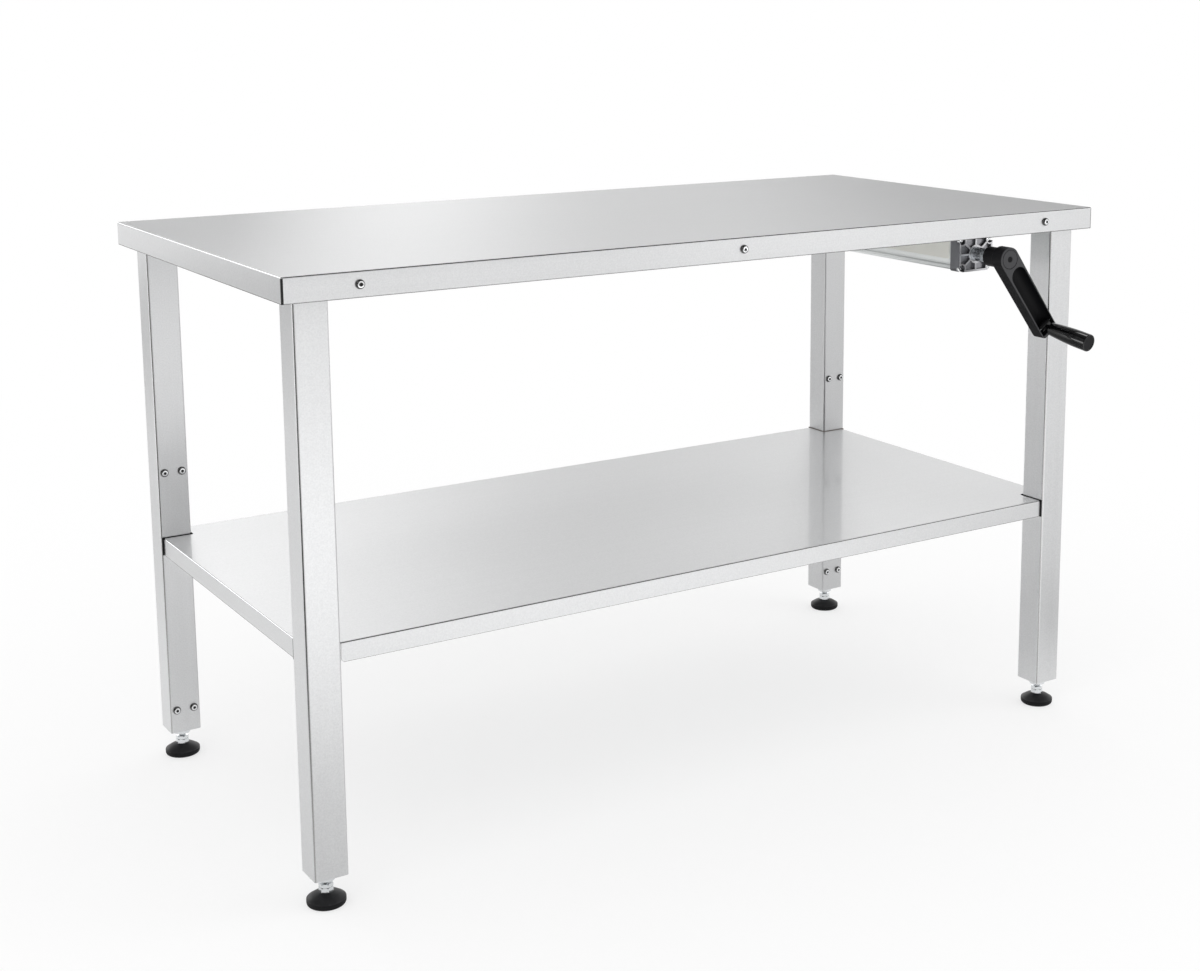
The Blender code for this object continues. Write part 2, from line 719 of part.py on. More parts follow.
def make_shelf_supports():
    seat = SHELF_UNDERSIDE - FIT_GAP
    hat = hat_outline(HAT_WIDTH, SHELF_HAT_HEIGHT, HAT_FLANGE, HAT_SHEET)
    length = 2 * (SHELF_EDGE_X - SHELF_SHEET - SHELF_BEND_RADIUS)
    add_piece("shelf_stiffener", prism([hat], length, shift(z=seat) @ ALONG_X), stainless)
    outer = LEG_INNER_X - FIT_GAP
    angle = [
        (outer, seat),
        (outer, seat - BRACKET_HEIGHT),
        (outer - BRACKET_SHEET, seat - BRACKET_HEIGHT),
        (outer - BRACKET_SHEET, seat - BRACKET_SHEET),
        (outer - BRACKET_REACH, seat - BRACKET_SHEET),
        (outer - BRACKET_REACH, seat),
    ]
    near = LEG_INNER_Y + BRACKET_MARGIN
    far = SHELF_EDGE_Y - SHELF_SHEET - BRACKET_MARGIN
    mesh = prism([angle], far - near, ALONG_Y)
    for corner, (x, y) in CORNERS.items():
        bracket = add_piece(f"shelf_bracket_{corner}", mesh, stainless)
        bracket.location.y = y * (near + far) / 2
        bracket.rotation_euler.z = math.pi if x < 0 else 0


# Pump
def make_pump_housing():
    """An extrusion with a hanger slot along its top and a groove low on each side."""
    x, z = HOUSING_WIDTH / 2, HOUSING_HEIGHT / 2
    radius = HOUSING_CORNER_RADIUS
    slot = HANGER_SLOT_WIDTH / 2 + FIT_GAP
    slot_floor = z - HANGER_SLOT_DEPTH - FIT_GAP
    groove_top = HOUSING_GROOVE_WIDTH / 2 - HOUSING_GROOVE_DROP
    groove_bottom = groove_top - HOUSING_GROOVE_WIDTH
    groove_floor = x - HOUSING_GROOVE_DEPTH
    right = [
        *arc((x - radius, -z + radius), radius, -90, 0, ARC_STEPS),
        (x, groove_bottom),
        (groove_floor, groove_bottom),
        (groove_floor, groove_top),
        (x, groove_top),
        *arc((x - radius, z - radius), radius, 0, 90, ARC_STEPS),
        (slot, z),
        (slot, slot_floor),
    ]
    outline = right + [(-px, pz) for px, pz in reversed(right)]
    cavity = rounded_rectangle(CAVITY_WIDTH, CAVITY_HEIGHT, HOUSING_CORNER_RADIUS)
    middle = (HOUSING_FRONT + HOUSING_BACK) / 2
    mesh = prism([outline, cavity], HOUSING_BACK - HOUSING_FRONT, ALONG_Y)
    add_piece("pump_housing", mesh, aluminium, location=(SHAFT_X, middle, SHAFT_Z))


def make_pump_hangers():
    """Blocks under the carrier, each with a tongue in the housing's slot."""
    top = CARRIER_BOTTOM - FIT_GAP - HOUSING_TOP
    half = [
        (HANGER_SLOT_WIDTH / 2, -HANGER_SLOT_DEPTH),
        (HANGER_SLOT_WIDTH / 2, FIT_GAP),
        (HANGER_WIDTH / 2, FIT_GAP),
        (HANGER_WIDTH / 2, top),
    ]
    mesh = prism([half + [(-x, z) for x, z in reversed(half)]], HANGER_LENGTH, ALONG_Y)
    stations = {
        "pump_hanger_front": HOUSING_FRONT + HANGER_FROM_END,
        "pump_hanger_rear": HOUSING_BACK - HANGER_FROM_END,
    }
    for name, y in stations.items():
        add_piece(name, mesh, aluminium, location=(SHAFT_X, y, HOUSING_TOP))


def between(front, back):
    """Places an outline or a profile so that its depth runs from one y to another."""
    return shift(y=(front + back) / 2) @ ALONG_Y


def slab(loop, front, back):
    return prism([loop], back - front, between(front, back))


def make_front_cap():
    """A die casting: a rim, eight ribs round the bearing boss, and a screw seat at each corner."""
    block = rounded_rectangle(CAP_WIDTH, CAP_HEIGHT, CAP_CORNER_RADIUS)
    cap = add_piece("pump_front_cap", slab(block, 0, CAP_DEPTH), die_cast)
    cap.location = (SHAFT_X, CAP_FRONT, SHAFT_Z)
    screw_x = CAP_WIDTH / 2 - CAP_SCREW_INSET
    screw_z = CAP_HEIGHT / 2 - CAP_SCREW_INSET
    screws = [(x, z) for x in (-screw_x, screw_x) for z in (-screw_z, screw_z)]
    cut(cap, cap_pocket(screws))
    foot = CAP_POCKET_DEPTH + CAP_RIM
    diagonal = math.atan2(screw_z, screw_x)
    spans = {
        0: CAP_WIDTH - CAP_RIM,
        math.pi / 2: CAP_HEIGHT - CAP_RIM,
        diagonal: 2 * math.hypot(screw_x, screw_z),
        -diagonal: 2 * math.hypot(screw_x, screw_z),
    }
    for angle, span in spans.items():
        bar = [(span / 2, CAP_RIB_WIDTH / 2), (-span / 2, CAP_RIB_WIDTH / 2)]
        bar += [(-px, -pz) for px, pz in bar]
        rib = slab(bar, CAP_RIB_SETBACK, foot)
        rib.transform(Matrix.Rotation(angle, 4, "Y"))
        join(cap, rib)
    join(cap, slab(circle(CAP_BOSS_RADIUS, ROUND_SIDES), CAP_RIB_SETBACK / 2, foot))
    for screw in screws:
        cut(cap, slab(circle(CAP_SEAT_RADIUS, SMALL_SIDES, screw), -CAP_DEPTH, CAP_SEAT_DEPTH))
    bore = circle(BEARING_RADIUS + FIT_GAP, ROUND_SIDES)
    cut(cap, slab(bore, -CAP_DEPTH, 2 * CAP_DEPTH))


def cap_pocket(screws):
    """The hollow in the cap's face, which leaves a rim and an arch round each screw seat."""
    inside = (CAP_WIDTH - 2 * CAP_RIM, CAP_HEIGHT - 2 * CAP_RIM)
    outline = rounded_rectangle(*inside, CAP_CORNER_RADIUS)
    pocket = add_piece("pocket", slab(outline, -CAP_POCKET_DEPTH, CAP_POCKET_DEPTH), die_cast)
    for screw in screws:
        arch = circle(CAP_SEAT_RADIUS + CAP_ARCH_WIDTH, SMALL_SIDES, screw)
        cut(pocket, slab(arch, -CAP_DEPTH, CAP_DEPTH))
    mesh = settle(pocket)
    bpy.data.objects.remove(pocket)
    return mesh


def make_rear_cap():
    """An end plate with four hose ports in a row."""
    block = rounded_rectangle(CAP_WIDTH, CAP_HEIGHT, CAP_CORNER_RADIUS)
    cap = add_piece("pump_rear_cap", slab(block, 0, REAR_CAP_DEPTH), die_cast)
    cap.location = (SHAFT_X, HOUSING_BACK + FIT_GAP, SHAFT_Z)
    for x in (-PUMP_PISTON_X, PUMP_PISTON_X):
        for z in (-PUMP_PISTON_Z, PUMP_PISTON_Z):
            back = REAR_CAP_DEPTH + PORT_LENGTH
            port = circle(PORT_RADIUS, SMALL_SIDES, (x, z))
            bore = circle(PORT_BORE_RADIUS, SMALL_SIDES, (x, z))
            join(cap, slab(port, REAR_CAP_DEPTH / 2, back))
            cut(cap, slab(bore, REAR_CAP_DEPTH / 2, 2 * back))


def make_pump_inside():
    """The carriage on the spindle pushes four pistons into the cylinder block."""
    stations = [(x, z) for x in (-PUMP_PISTON_X, PUMP_PISTON_X) for z in (-PUMP_PISTON_Z, PUMP_PISTON_Z)]
    fitted = (CAVITY_WIDTH - 2 * FIT_GAP, CAVITY_HEIGHT - 2 * FIT_GAP)
    outline = rounded_rectangle(*fitted, HOUSING_CORNER_RADIUS)
    spindle_bore = circle(SPINDLE_RADIUS + FIT_GAP, SMALL_SIDES)
    axis = (SHAFT_X, 0, SHAFT_Z)
    carriage = add_piece(
        "pump_carriage", slab(outline, CARRIAGE_FRONT, CARRIAGE_BACK), zinc, location=axis
    )
    for station in stations:
        piston = circle(PUMP_PISTON_RADIUS, SMALL_SIDES, station)
        join(carriage, slab(piston, CARRIAGE_BACK - PUMP_PISTON_ROOT, PISTON_TIP))
    cut(carriage, slab(spindle_bore, CAP_FRONT, BLOCK_FRONT))
    block = add_piece(
        "pump_cylinder_block", slab(outline, BLOCK_FRONT, BLOCK_BACK), aluminium, location=axis
    )
    for station in stations:
        bore = circle(PUMP_PISTON_RADIUS + FIT_GAP, SMALL_SIDES, station)
        cut(block, slab(bore, CARRIAGE_BACK, BLOCK_BORE_END))
    tail_end = BLOCK_FRONT + SPINDLE_TAIL + FIT_GAP
    cut(block, slab(spindle_bore, CARRIAGE_BACK, tail_end))


# Crank and folding handle
def make_spindle(crank_axis):
    """The threaded shaft and the sleeve that it turns in."""
    nose = HUB_FRONT + ARM_DEPTH + NECK_LENGTH - SPINDLE_NOSE
    tail = BLOCK_FRONT + SPINDLE_TAIL
    screw_bore = HUB_SCREW_RADIUS + FIT_GAP
    profile = [
        (0, -nose - HUB_SCREW_LENGTH),
        (screw_bore, -nose - HUB_SCREW_LENGTH),
        (screw_bore, -nose),
        (SPINDLE_RADIUS, -nose),
        (SPINDLE_RADIUS, -tail),
        (0, -tail),
    ]
    mesh = turned(profile, SMALL_SIDES, shift(y=-HUB_FRONT) @ ALONG_Y)
    add_piece("pump_spindle", mesh, zinc, crank_axis)
    front = NECK_BACK + FIT_GAP
    back = CAP_FRONT + BEARING_SEAT
    inner = SPINDLE_RADIUS + FIT_GAP
    bearing = sleeve(BEARING_RADIUS, inner, -back, -front, ROUND_SIDES, ALONG_Y)
    add_piece("shaft_bearing", bearing, zinc, location=(SHAFT_X, 0, SHAFT_Z))


def make_crank_arm(crank_axis):
    """The arm lies along -Z of the crank's axis, its front face at y 0."""
    corner_x = ARM_END_HALF - ARM_CORNER_RADIUS
    corner_z = ARM_CORNER_RADIUS - ARM_LENGTH
    outline = arc((0, 0), HUB_RADIUS, 0, 180, ROUND_SIDES // 2)
    outline += arc((-corner_x, corner_z), ARM_CORNER_RADIUS, 180, 270, ARC_STEPS)
    outline += arc((corner_x, corner_z), ARM_CORNER_RADIUS, 270, 360, ARC_STEPS)
    arm = add_piece("crank_arm", slab(outline, 0, ARM_DEPTH), crank_black, crank_axis)
    edges = arm.modifiers.new("edges", "BEVEL")
    edges.width = ARM_EDGE_BEVEL
    edges.segments = 1
    edges.limit_method = "ANGLE"
    edges.angle_limit = math.radians(50)
    cut(arm, end_round(), *trough())
    join(arm, slab(circle(NECK_RADIUS, ROUND_SIDES), ARM_DEPTH / 2, ARM_DEPTH + NECK_LENGTH))
    nose = ARM_DEPTH + NECK_LENGTH - SPINDLE_NOSE
    cut(arm, slab(circle(SPINDLE_RADIUS + FIT_GAP, SMALL_SIDES), nose - FIT_GAP, 2 * SPINDLE_NOSE))
    cut(arm, slab(circle(HUB_SCREW_RADIUS + FIT_GAP, SMALL_SIDES), -ARM_DEPTH, ARM_DEPTH))
    head_bore = circle(HUB_SCREW_HEAD_RADIUS + FIT_GAP, SMALL_SIDES)
    cut(arm, slab(head_bore, -ARM_DEPTH, HUB_SCREW_HEAD_HEIGHT))
    ring = [circle(HUB_RING_RADIUS, ROUND_SIDES), circle(HUB_RING_RADIUS - HUB_RING_WIDTH, ROUND_SIDES)]
    cut(arm, prism(ring, 2 * HUB_RING_DEPTH, ALONG_Y))
    seat = PIN_HALF + FIT_GAP
    pivot_place = shift(0, PIVOT_DEPTH, -PIVOT_REACH) @ ALONG_X
    boss_start = KNUCKLE_HALF + PIVOT_SIDE_GAP
    boss_end = TROUGH_HALF + ARM_WALL / 2
    for start, end in ((-boss_end, -boss_start), (boss_start, boss_end)):
        join(arm, rod(PIVOT_BOSS_RADIUS, start, end, SMALL_SIDES, pivot_place))
    cut(arm, rod(PIN_RADIUS + FIT_GAP, -seat, seat, SMALL_SIDES, pivot_place))


def end_round():
    """What is taken off behind the arm's lower end to round it."""
    center = (ARM_DEPTH - ARM_END_ROUND, ARM_END_ROUND - ARM_LENGTH)
    sweep = arc(center, ARM_END_ROUND, -87, -3, 2 * ARC_STEPS)
    outside = ARM_END_ROUND
    loop = sweep + [
        (ARM_DEPTH + outside, sweep[-1][1]),
        (ARM_DEPTH + outside, -ARM_LENGTH - outside),
        (sweep[0][0], -ARM_LENGTH - outside),
    ]
    return prism([loop], 4 * HUB_RADIUS, ALONG_X)


def trough():
    """The round-bottomed trough that the grip folds into, and its straight walls above."""
    axis_y = ARM_DEPTH - TROUGH_FLOOR - TROUGH_HALF
    nose = -TROUGH_TOP - TROUGH_HALF
    end = TROUGH_END_WALL - ARM_LENGTH
    quarter = arc((0, nose), TROUGH_HALF, 90, 0, 2 * ARC_STEPS)
    bullet = turned([*quarter, (TROUGH_HALF, end), (0, end)], ROUND_SIDES, shift(y=axis_y))
    half = TROUGH_HALF - FIT_GAP
    top = arc((0, nose), half, 0, 180, ROUND_SIDES // 2)
    walls = slab(top + [(-half, end + FIT_GAP), (half, end + FIT_GAP)], -ARM_DEPTH, axis_y + FIT_GAP)
    return bullet, walls


def make_hub_screw(crank_axis):
    head = HUB_SCREW_HEAD_HEIGHT - FIT_GAP
    nose = ARM_DEPTH + NECK_LENGTH - SPINDLE_NOSE
    tip = nose + HUB_SCREW_LENGTH - FIT_GAP
    profile = [
        (0, 0),
        (HUB_SCREW_HEAD_RADIUS, 0),
        (HUB_SCREW_HEAD_RADIUS, -head),
        (HUB_SCREW_RADIUS, -head),
        (HUB_SCREW_RADIUS, -tip),
        (0, -tip),
    ]
    screw = add_piece("crank_hub_screw", turned(profile, SMALL_SIDES, ALONG_Y), crank_black, crank_axis)
    cut(screw, prism([hexagon(SOCKET_FLATS)], SOCKET_DEPTH, ALONG_Y))


def make_handle(crank_axis):
    """The knuckle turns on a pin between the arm's walls, and the grip turns on its stem."""
    fold_place = (0, PIVOT_DEPTH, -PIVOT_REACH)
    pin = rod(PIN_RADIUS, -PIN_HALF, PIN_HALF, SMALL_SIDES, ALONG_X)
    add_piece("handle_hinge_pin", pin, zinc, crank_axis, fold_place)
    fold_axis = pivot("handle_fold_axis", fold_place, (HANDLE_DROOP, 0, 0), crank_axis)
    stem_end = GRIP_REACH - GRIP_END_WALL
    stem_profile = [
        (0, stem_end),
        (STEM_RADIUS, stem_end),
        (STEM_RADIUS, GRIP_ROOT),
        (STEM_COLLAR_RADIUS, GRIP_ROOT),
        (STEM_RADIUS, KNUCKLE_RADIUS),
        (STEM_RADIUS, 0),
        (0, 0),
    ]
    barrel = rod(KNUCKLE_RADIUS, -KNUCKLE_HALF, KNUCKLE_HALF, ROUND_SIDES, ALONG_X)
    knuckle = add_piece("handle_knuckle", barrel, crank_black, fold_axis)
    join(knuckle, turned(stem_profile, SMALL_SIDES, ALONG_Y))
    reach = 2 * KNUCKLE_HALF
    cut(knuckle, rod(PIN_RADIUS + FIT_GAP, -reach, reach, SMALL_SIDES, ALONG_X))
    bore = STEM_RADIUS + FIT_GAP
    root = GRIP_ROOT + FIT_GAP
    grip_profile = [
        (0, stem_end + FIT_GAP),
        (bore, stem_end + FIT_GAP),
        (bore, root),
        (GRIP_ROOT_RADIUS - GRIP_EDGE, root),
        *grip_swell(root + GRIP_EDGE, GRIP_REACH - GRIP_EDGE),
        (GRIP_END_RADIUS - GRIP_EDGE, GRIP_REACH),
        (0, GRIP_REACH),
    ]
    add_piece("handle_grip", turned(grip_profile, ROUND_SIDES, ALONG_Y), grip_black, fold_axis)


def grip_swell(start, end):
    """The grip's side: it widens quickly from the root and runs out straight towards its end."""
    points = []
    for k in range(GRIP_STEPS + 1):
        share = min(k / GRIP_STEPS / GRIP_SWELL_SHARE, 1)
        radius = GRIP_ROOT_RADIUS + (GRIP_END_RADIUS - GRIP_ROOT_RADIUS) * math.sin(share * math.pi / 2)
        points.append((radius, start + (end - start) * k / GRIP_STEPS))
    return points


for obj in list(bpy.data.objects):
    bpy.data.objects.remove(obj, do_unlink=True)
parts = new_collection("instrument_table")
cutters = new_collection("cutters")
stainless = new_material("stainless", (0.62, 0.62, 0.61), 0.32, 1.0)
zinc = new_material("zinc", (0.58, 0.59, 0.60), 0.30, 1.0)
chrome = new_material("chrome", (0.70, 0.70, 0.70), 0.10, 1.0)
aluminium = new_material("aluminium", (0.66, 0.67, 0.68), 0.35, 1.0)
die_cast = new_material("die_cast", (0.20, 0.20, 0.21), 0.50, 0.6)
crank_black = new_material("crank_black", (0.025, 0.025, 0.028), 0.45, 0.0)
grip_black = new_material("grip_black", (0.012, 0.012, 0.013), 0.15, 0.0)
rubber = new_material("rubber", (0.020, 0.020, 0.021), 0.75, 0.0)

make_tabletop()
make_rails()
make_cross_channels()
make_skirt_bolts()
make_legs()
make_lift_cylinders()
make_feet()
make_shelf()
make_shelf_supports()
make_pump_housing()
make_pump_hangers()
make_front_cap()
make_rear_cap()
make_pump_inside()
crank = pivot("crank_axis", (SHAFT_X, HUB_FRONT, SHAFT_Z), (0, -CRANK_ANGLE, 0))
make_spindle(crank)
make_crank_arm(crank)
make_hub_screw(crank)
make_handle(crank)
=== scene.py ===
import json
import math

import bmesh
import bpy
from mathutils import Matrix, Vector


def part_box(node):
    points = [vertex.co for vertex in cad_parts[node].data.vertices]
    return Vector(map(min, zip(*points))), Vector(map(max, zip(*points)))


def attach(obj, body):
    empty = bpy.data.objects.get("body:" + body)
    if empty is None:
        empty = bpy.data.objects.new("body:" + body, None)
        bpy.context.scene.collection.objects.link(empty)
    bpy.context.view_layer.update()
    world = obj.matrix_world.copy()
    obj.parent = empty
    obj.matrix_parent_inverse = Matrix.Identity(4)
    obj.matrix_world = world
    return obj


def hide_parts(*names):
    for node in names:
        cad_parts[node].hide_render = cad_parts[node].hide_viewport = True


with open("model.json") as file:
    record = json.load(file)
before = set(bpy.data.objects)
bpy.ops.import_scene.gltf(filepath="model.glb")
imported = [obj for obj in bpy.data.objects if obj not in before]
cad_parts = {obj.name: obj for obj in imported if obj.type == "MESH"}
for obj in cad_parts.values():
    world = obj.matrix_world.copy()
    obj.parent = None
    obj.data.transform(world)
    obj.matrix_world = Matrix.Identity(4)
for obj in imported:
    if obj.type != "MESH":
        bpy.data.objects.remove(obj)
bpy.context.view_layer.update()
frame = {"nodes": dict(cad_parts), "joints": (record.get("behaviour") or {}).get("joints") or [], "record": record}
joints = {joint["name"]: joint for joint in frame["joints"]}
slotOfNode = {row["node"]: row["material_slot"] for row in frame["record"]["subparts"]}
corners = ("front_left", "front_right", "rear_left", "rear_right")
print("frame loaded:", len(frame["nodes"]), "nodes")


class Wire:  # a shader socket; sums and products of wires add Math nodes
    def __init__(self, tree, socket=None):
        self.tree = tree
        self.socket = socket

    def node(self, kind, settings, inputs, output=0):
        made = self.tree.nodes.new("ShaderNode" + kind)
        for name, value in settings.items():
            setattr(made, name, value)
        for name, value in inputs.items():
            if isinstance(value, Wire):
                self.tree.links.new(value.socket, made.inputs[name])
            else:
                made.inputs[name].default_value = value
        return Wire(self.tree, made.outputs[output])

    def maths(self, operation, first, second):
        return self.node("Math", {"operation": operation}, {0: first, 1: second})

    def __add__(self, other):
        return self.maths("ADD", self, other)

    def __sub__(self, other):
        return self.maths("SUBTRACT", self, other)

    def __rsub__(self, other):
        return self.maths("SUBTRACT", other, self)

    def __mul__(self, other):
        return self.maths("MULTIPLY", self, other)

    __radd__ = __add__
    __rmul__ = __mul__


# finishes
def newFinish(name, constants):
    material = bpy.data.materials.new(name)
    material.use_nodes = True
    shader = material.node_tree.nodes["Principled BSDF"]
    for socket, value in constants.items():
        shader.inputs[socket].default_value = value
    return material, Wire(material.node_tree), shader


def feed(shader, socket, wire):
    wire.tree.links.new(wire.socket, shader.inputs[socket])


def noiseOf(start, stretch, detail=3.0):
    place = start.node("TexCoord", {}, {}, "Object")
    placed = start.node("Mapping", {}, {"Vector": place, "Scale": stretch})
    return start.node("TexNoise", {}, {"Vector": placed, "Scale": 1.0, "Detail": detail})


def toneBetween(mask, dark, light):
    return mask.node("Mix", {"data_type": "RGBA"}, {0: mask, 6: (*dark, 1.0), 7: (*light, 1.0)}, 2)


def bumpOf(height, strength, distance=0.0002):
    return height.node("Bump", {}, {"Strength": strength, "Distance": distance, "Height": height})


def evenNoise(start, scale, detail=3.0):
    return noiseOf(start, (scale, scale, scale), detail)


def swing(noise, amount):   # a little more or less, round zero
    return amount * (noise - 0.5)


def grey(tone):
    return (tone, tone, tone)


brushed = {
    "dark": (0.560, 0.564, 0.571),
    "light": (0.858, 0.862, 0.867),
    "roughness": 0.38,
    "film": 0.45,          # a smoother skin that mirrors faintly at a low angle
    "filmRoughness": 0.08,
    "grainAlong": 9.0,     # cycles per metre along the brush lines
    "grainAcross": 2600.0,
    "streakAlong": 1.3,
    "streakAcross": 85.0,
    "cloud": 3.1,
    "speck": 460.0,
    "shares": (0.28, 0.40, 0.32),   # of streak, grain and cloud in the tone
    "swings": (0.06, 0.10, 0.08),   # and in the roughness
    "relief": 0.05,
}


def brushedSteel(name, along, speckle=0.45, shade=1.0, metal=1.0, film=brushed["film"]):
    def stretched(slow, quick):
        return tuple(slow if axis == along else quick for axis in "xyz")

    skin = {"Coat Weight": film, "Coat Roughness": brushed["filmRoughness"], "Coat IOR": 1.45}
    material, start, shader = newFinish(name, {"Metallic": metal, **skin})
    grain = noiseOf(start, stretched(brushed["grainAlong"], brushed["grainAcross"]))
    streak = noiseOf(start, stretched(brushed["streakAlong"], brushed["streakAcross"]))
    cloud = evenNoise(start, brushed["cloud"], 2.0)
    speck = evenNoise(start, brushed["speck"], 1.0)
    ofStreak, ofGrain, ofCloud = brushed["shares"]
    tone = (1 - speckle) * (ofStreak * streak + ofGrain * grain + ofCloud * cloud) + speckle * speck
    dark, light = (tuple(shade * part for part in brushed[key]) for key in ("dark", "light"))
    feed(shader, "Base Color", toneBetween(tone, dark, light))
    ofStreak, ofGrain, ofCloud = brushed["swings"]
    rough = brushed["roughness"] + swing(streak, ofStreak) + swing(grain, ofGrain) + swing(cloud, ofCloud)
    feed(shader, "Roughness", rough)
    feed(shader, "Normal", bumpOf(grain, brushed["relief"]))
    return material


bent = {"cloud": 320.0, "roughness": 0.20, "swing": 0.10, "relief": 0.06, "depth": 0.0003}


def bentSteel(name, dark, light):
    material, start, shader = newFinish(name, {"Metallic": 1.0})
    cloud = evenNoise(start, bent["cloud"])
    feed(shader, "Base Color", toneBetween(cloud, dark, light))
    feed(shader, "Roughness", bent["roughness"] + swing(cloud, bent["swing"]))
    feed(shader, "Normal", bumpOf(cloud, bent["relief"], bent["depth"]))
    return material


plated = {
    "cloud": 260.0,
    "speck": 1500.0,
    "cloudShare": 0.7,
    "cloudSwing": 0.12,
    "speckSwing": 0.08,
    "relief": 0.04,
}


def platedSteel(name, dark, light, roughness):
    material, start, shader = newFinish(name, {"Metallic": 1.0})
    cloud = evenNoise(start, plated["cloud"])
    speck = evenNoise(start, plated["speck"])
    tone = plated["cloudShare"] * cloud + (1 - plated["cloudShare"]) * speck
    feed(shader, "Base Color", toneBetween(tone, dark, light))
    rough = roughness + swing(cloud, plated["cloudSwing"]) + swing(speck, plated["speckSwing"])
    feed(shader, "Roughness", rough)
    feed(shader, "Normal", bumpOf(speck, plated["relief"]))
    return material


drawn = {
    "dark": (0.66, 0.68, 0.68),
    "light": (0.80, 0.82, 0.81),
    "roughness": 0.33,
    "lines": (900.0, 4.0, 900.0),
    "cloud": (30.0, 8.0, 30.0),
    "lineShare": 0.6,
    "lineSwing": 0.14,
    "cloudSwing": 0.06,
    "relief": 0.08,
}


def drawnAluminium(name):
    material, start, shader = newFinish(name, {"Metallic": 1.0})
    lines = noiseOf(start, drawn["lines"])
    cloud = noiseOf(start, drawn["cloud"])
    tone = drawn["lineShare"] * lines + (1 - drawn["lineShare"]) * cloud
    feed(shader, "Base Color", toneBetween(tone, drawn["dark"], drawn["light"]))
    rough = drawn["roughness"] + swing(lines, drawn["lineSwing"]) + swing(cloud, drawn["cloudSwing"])
    feed(shader, "Roughness", rough)
    feed(shader, "Normal", bumpOf(lines, drawn["relief"]))
    return material


cast = {
    "skin": 900.0,
    "cloud": 70.0,
    "skinShare": 0.5,
    "roughness": 0.36,
    "swing": 0.16,
    "relief": 0.07,
    "depth": 0.0003,
}


def castMetal(name, dark, light):
    material, start, shader = newFinish(name, {"Metallic": 0.9})
    skin = evenNoise(start, cast["skin"])
    cloud = evenNoise(start, cast["cloud"])
    tone = cast["skinShare"] * skin + (1 - cast["skinShare"]) * cloud
    feed(shader, "Base Color", toneBetween(tone, dark, light))
    feed(shader, "Roughness", cast["roughness"] + swing(skin, cast["swing"]))
    feed(shader, "Normal", bumpOf(skin, cast["relief"], cast["depth"]))
    return material


moulded = {"cloud": 40.0, "skinShare": 0.4, "skinSwing": 0.10, "cloudSwing": 0.08}


def mouldedPlastic(name, dark, light, roughness, grain, relief, shine=0.5):
    material, start, shader = newFinish(name, {"Metallic": 0.0, "IOR": 1.5, "Specular IOR Level": shine})
    skin = evenNoise(start, grain)
    cloud = evenNoise(start, moulded["cloud"])
    tone = moulded["skinShare"] * skin + (1 - moulded["skinShare"]) * cloud
    feed(shader, "Base Color", toneBetween(tone, dark, light))
    rough = roughness + swing(skin, moulded["skinSwing"]) + swing(cloud, moulded["cloudSwing"])
    feed(shader, "Roughness", rough)
    feed(shader, "Normal", bumpOf(skin, relief))
    return material


steelLengthwise = brushedSteel("brushed_steel_lengthwise", "x")
steelCrosswise = brushedSteel("brushed_steel_crosswise", "y")
steelUpright = brushedSteel("brushed_steel_upright", "z", speckle=0.48)
# painted shade: the rear right tube's steel is painted darker
steelPaintedShade = brushedSteel("brushed_steel_painted_shade", "z", speckle=0.60, shade=0.84)
steelShelf = brushedSteel("brushed_steel_shelf", "x", shade=0.97, metal=0.85, film=0.90)
# painted dark reflection along the bends of the top and shelf, and painted shade on the top's bottom lip
steelBendDarkPaint = bentSteel("bent_steel_painted_dark", grey(0.25), grey(0.37))
# painted dark reflection down the leg corners, and painted shade on the shelf's bottom lip
steelCornerDarkPaint = bentSteel("bent_tube_painted_dark", grey(0.36), grey(0.52))
# painted highlight on the end bends, brighter than the brushed steel, with a smoother polish
steelEdgeHighlightPaint = bentSteel("polished_steel_edge_painted_highlight", (0.80, 0.81, 0.82), (0.90, 0.91, 0.92))
zincPlate = platedSteel("zinc_plate", (0.70, 0.72, 0.74), (0.86, 0.88, 0.89), 0.14)
brightBolt = platedSteel("polished_bolt", (0.80, 0.81, 0.82), (0.90, 0.91, 0.92), 0.07)
# painted dark reflection on the domes of the button bolts
boltDarkPaint = platedSteel("bolt_painted_dark_reflection", grey(0.13), grey(0.20), 0.06)
hardChrome = platedSteel("hard_chrome", (0.70, 0.70, 0.71), (0.78, 0.78, 0.79), 0.07)
sleeveZinc = platedSteel("dull_zinc", (0.44, 0.47, 0.49), (0.58, 0.61, 0.63), 0.27)
# near-black painted shade in the top's corner seams and the bolt sockets
shadeBlackSteel = platedSteel("steel_painted_shade_black", grey(0.04), grey(0.08), 0.45)
extrusion = drawnAluminium("drawn_aluminium")
casting = castMetal("grey_casting", (0.31, 0.31, 0.33), (0.46, 0.46, 0.485))
# painted shade on the cap's side faces and rib walls
castingShadePaint = castMetal("casting_painted_shade", (0.13, 0.132, 0.142), (0.20, 0.203, 0.215))
# painted highlight on the cap's rib crests
castingHighlightPaint = castMetal("casting_painted_highlight", (0.58, 0.58, 0.60), (0.74, 0.74, 0.76))
deepBlack, softBlack = (0.005, 0.005, 0.006), (0.009, 0.009, 0.010)
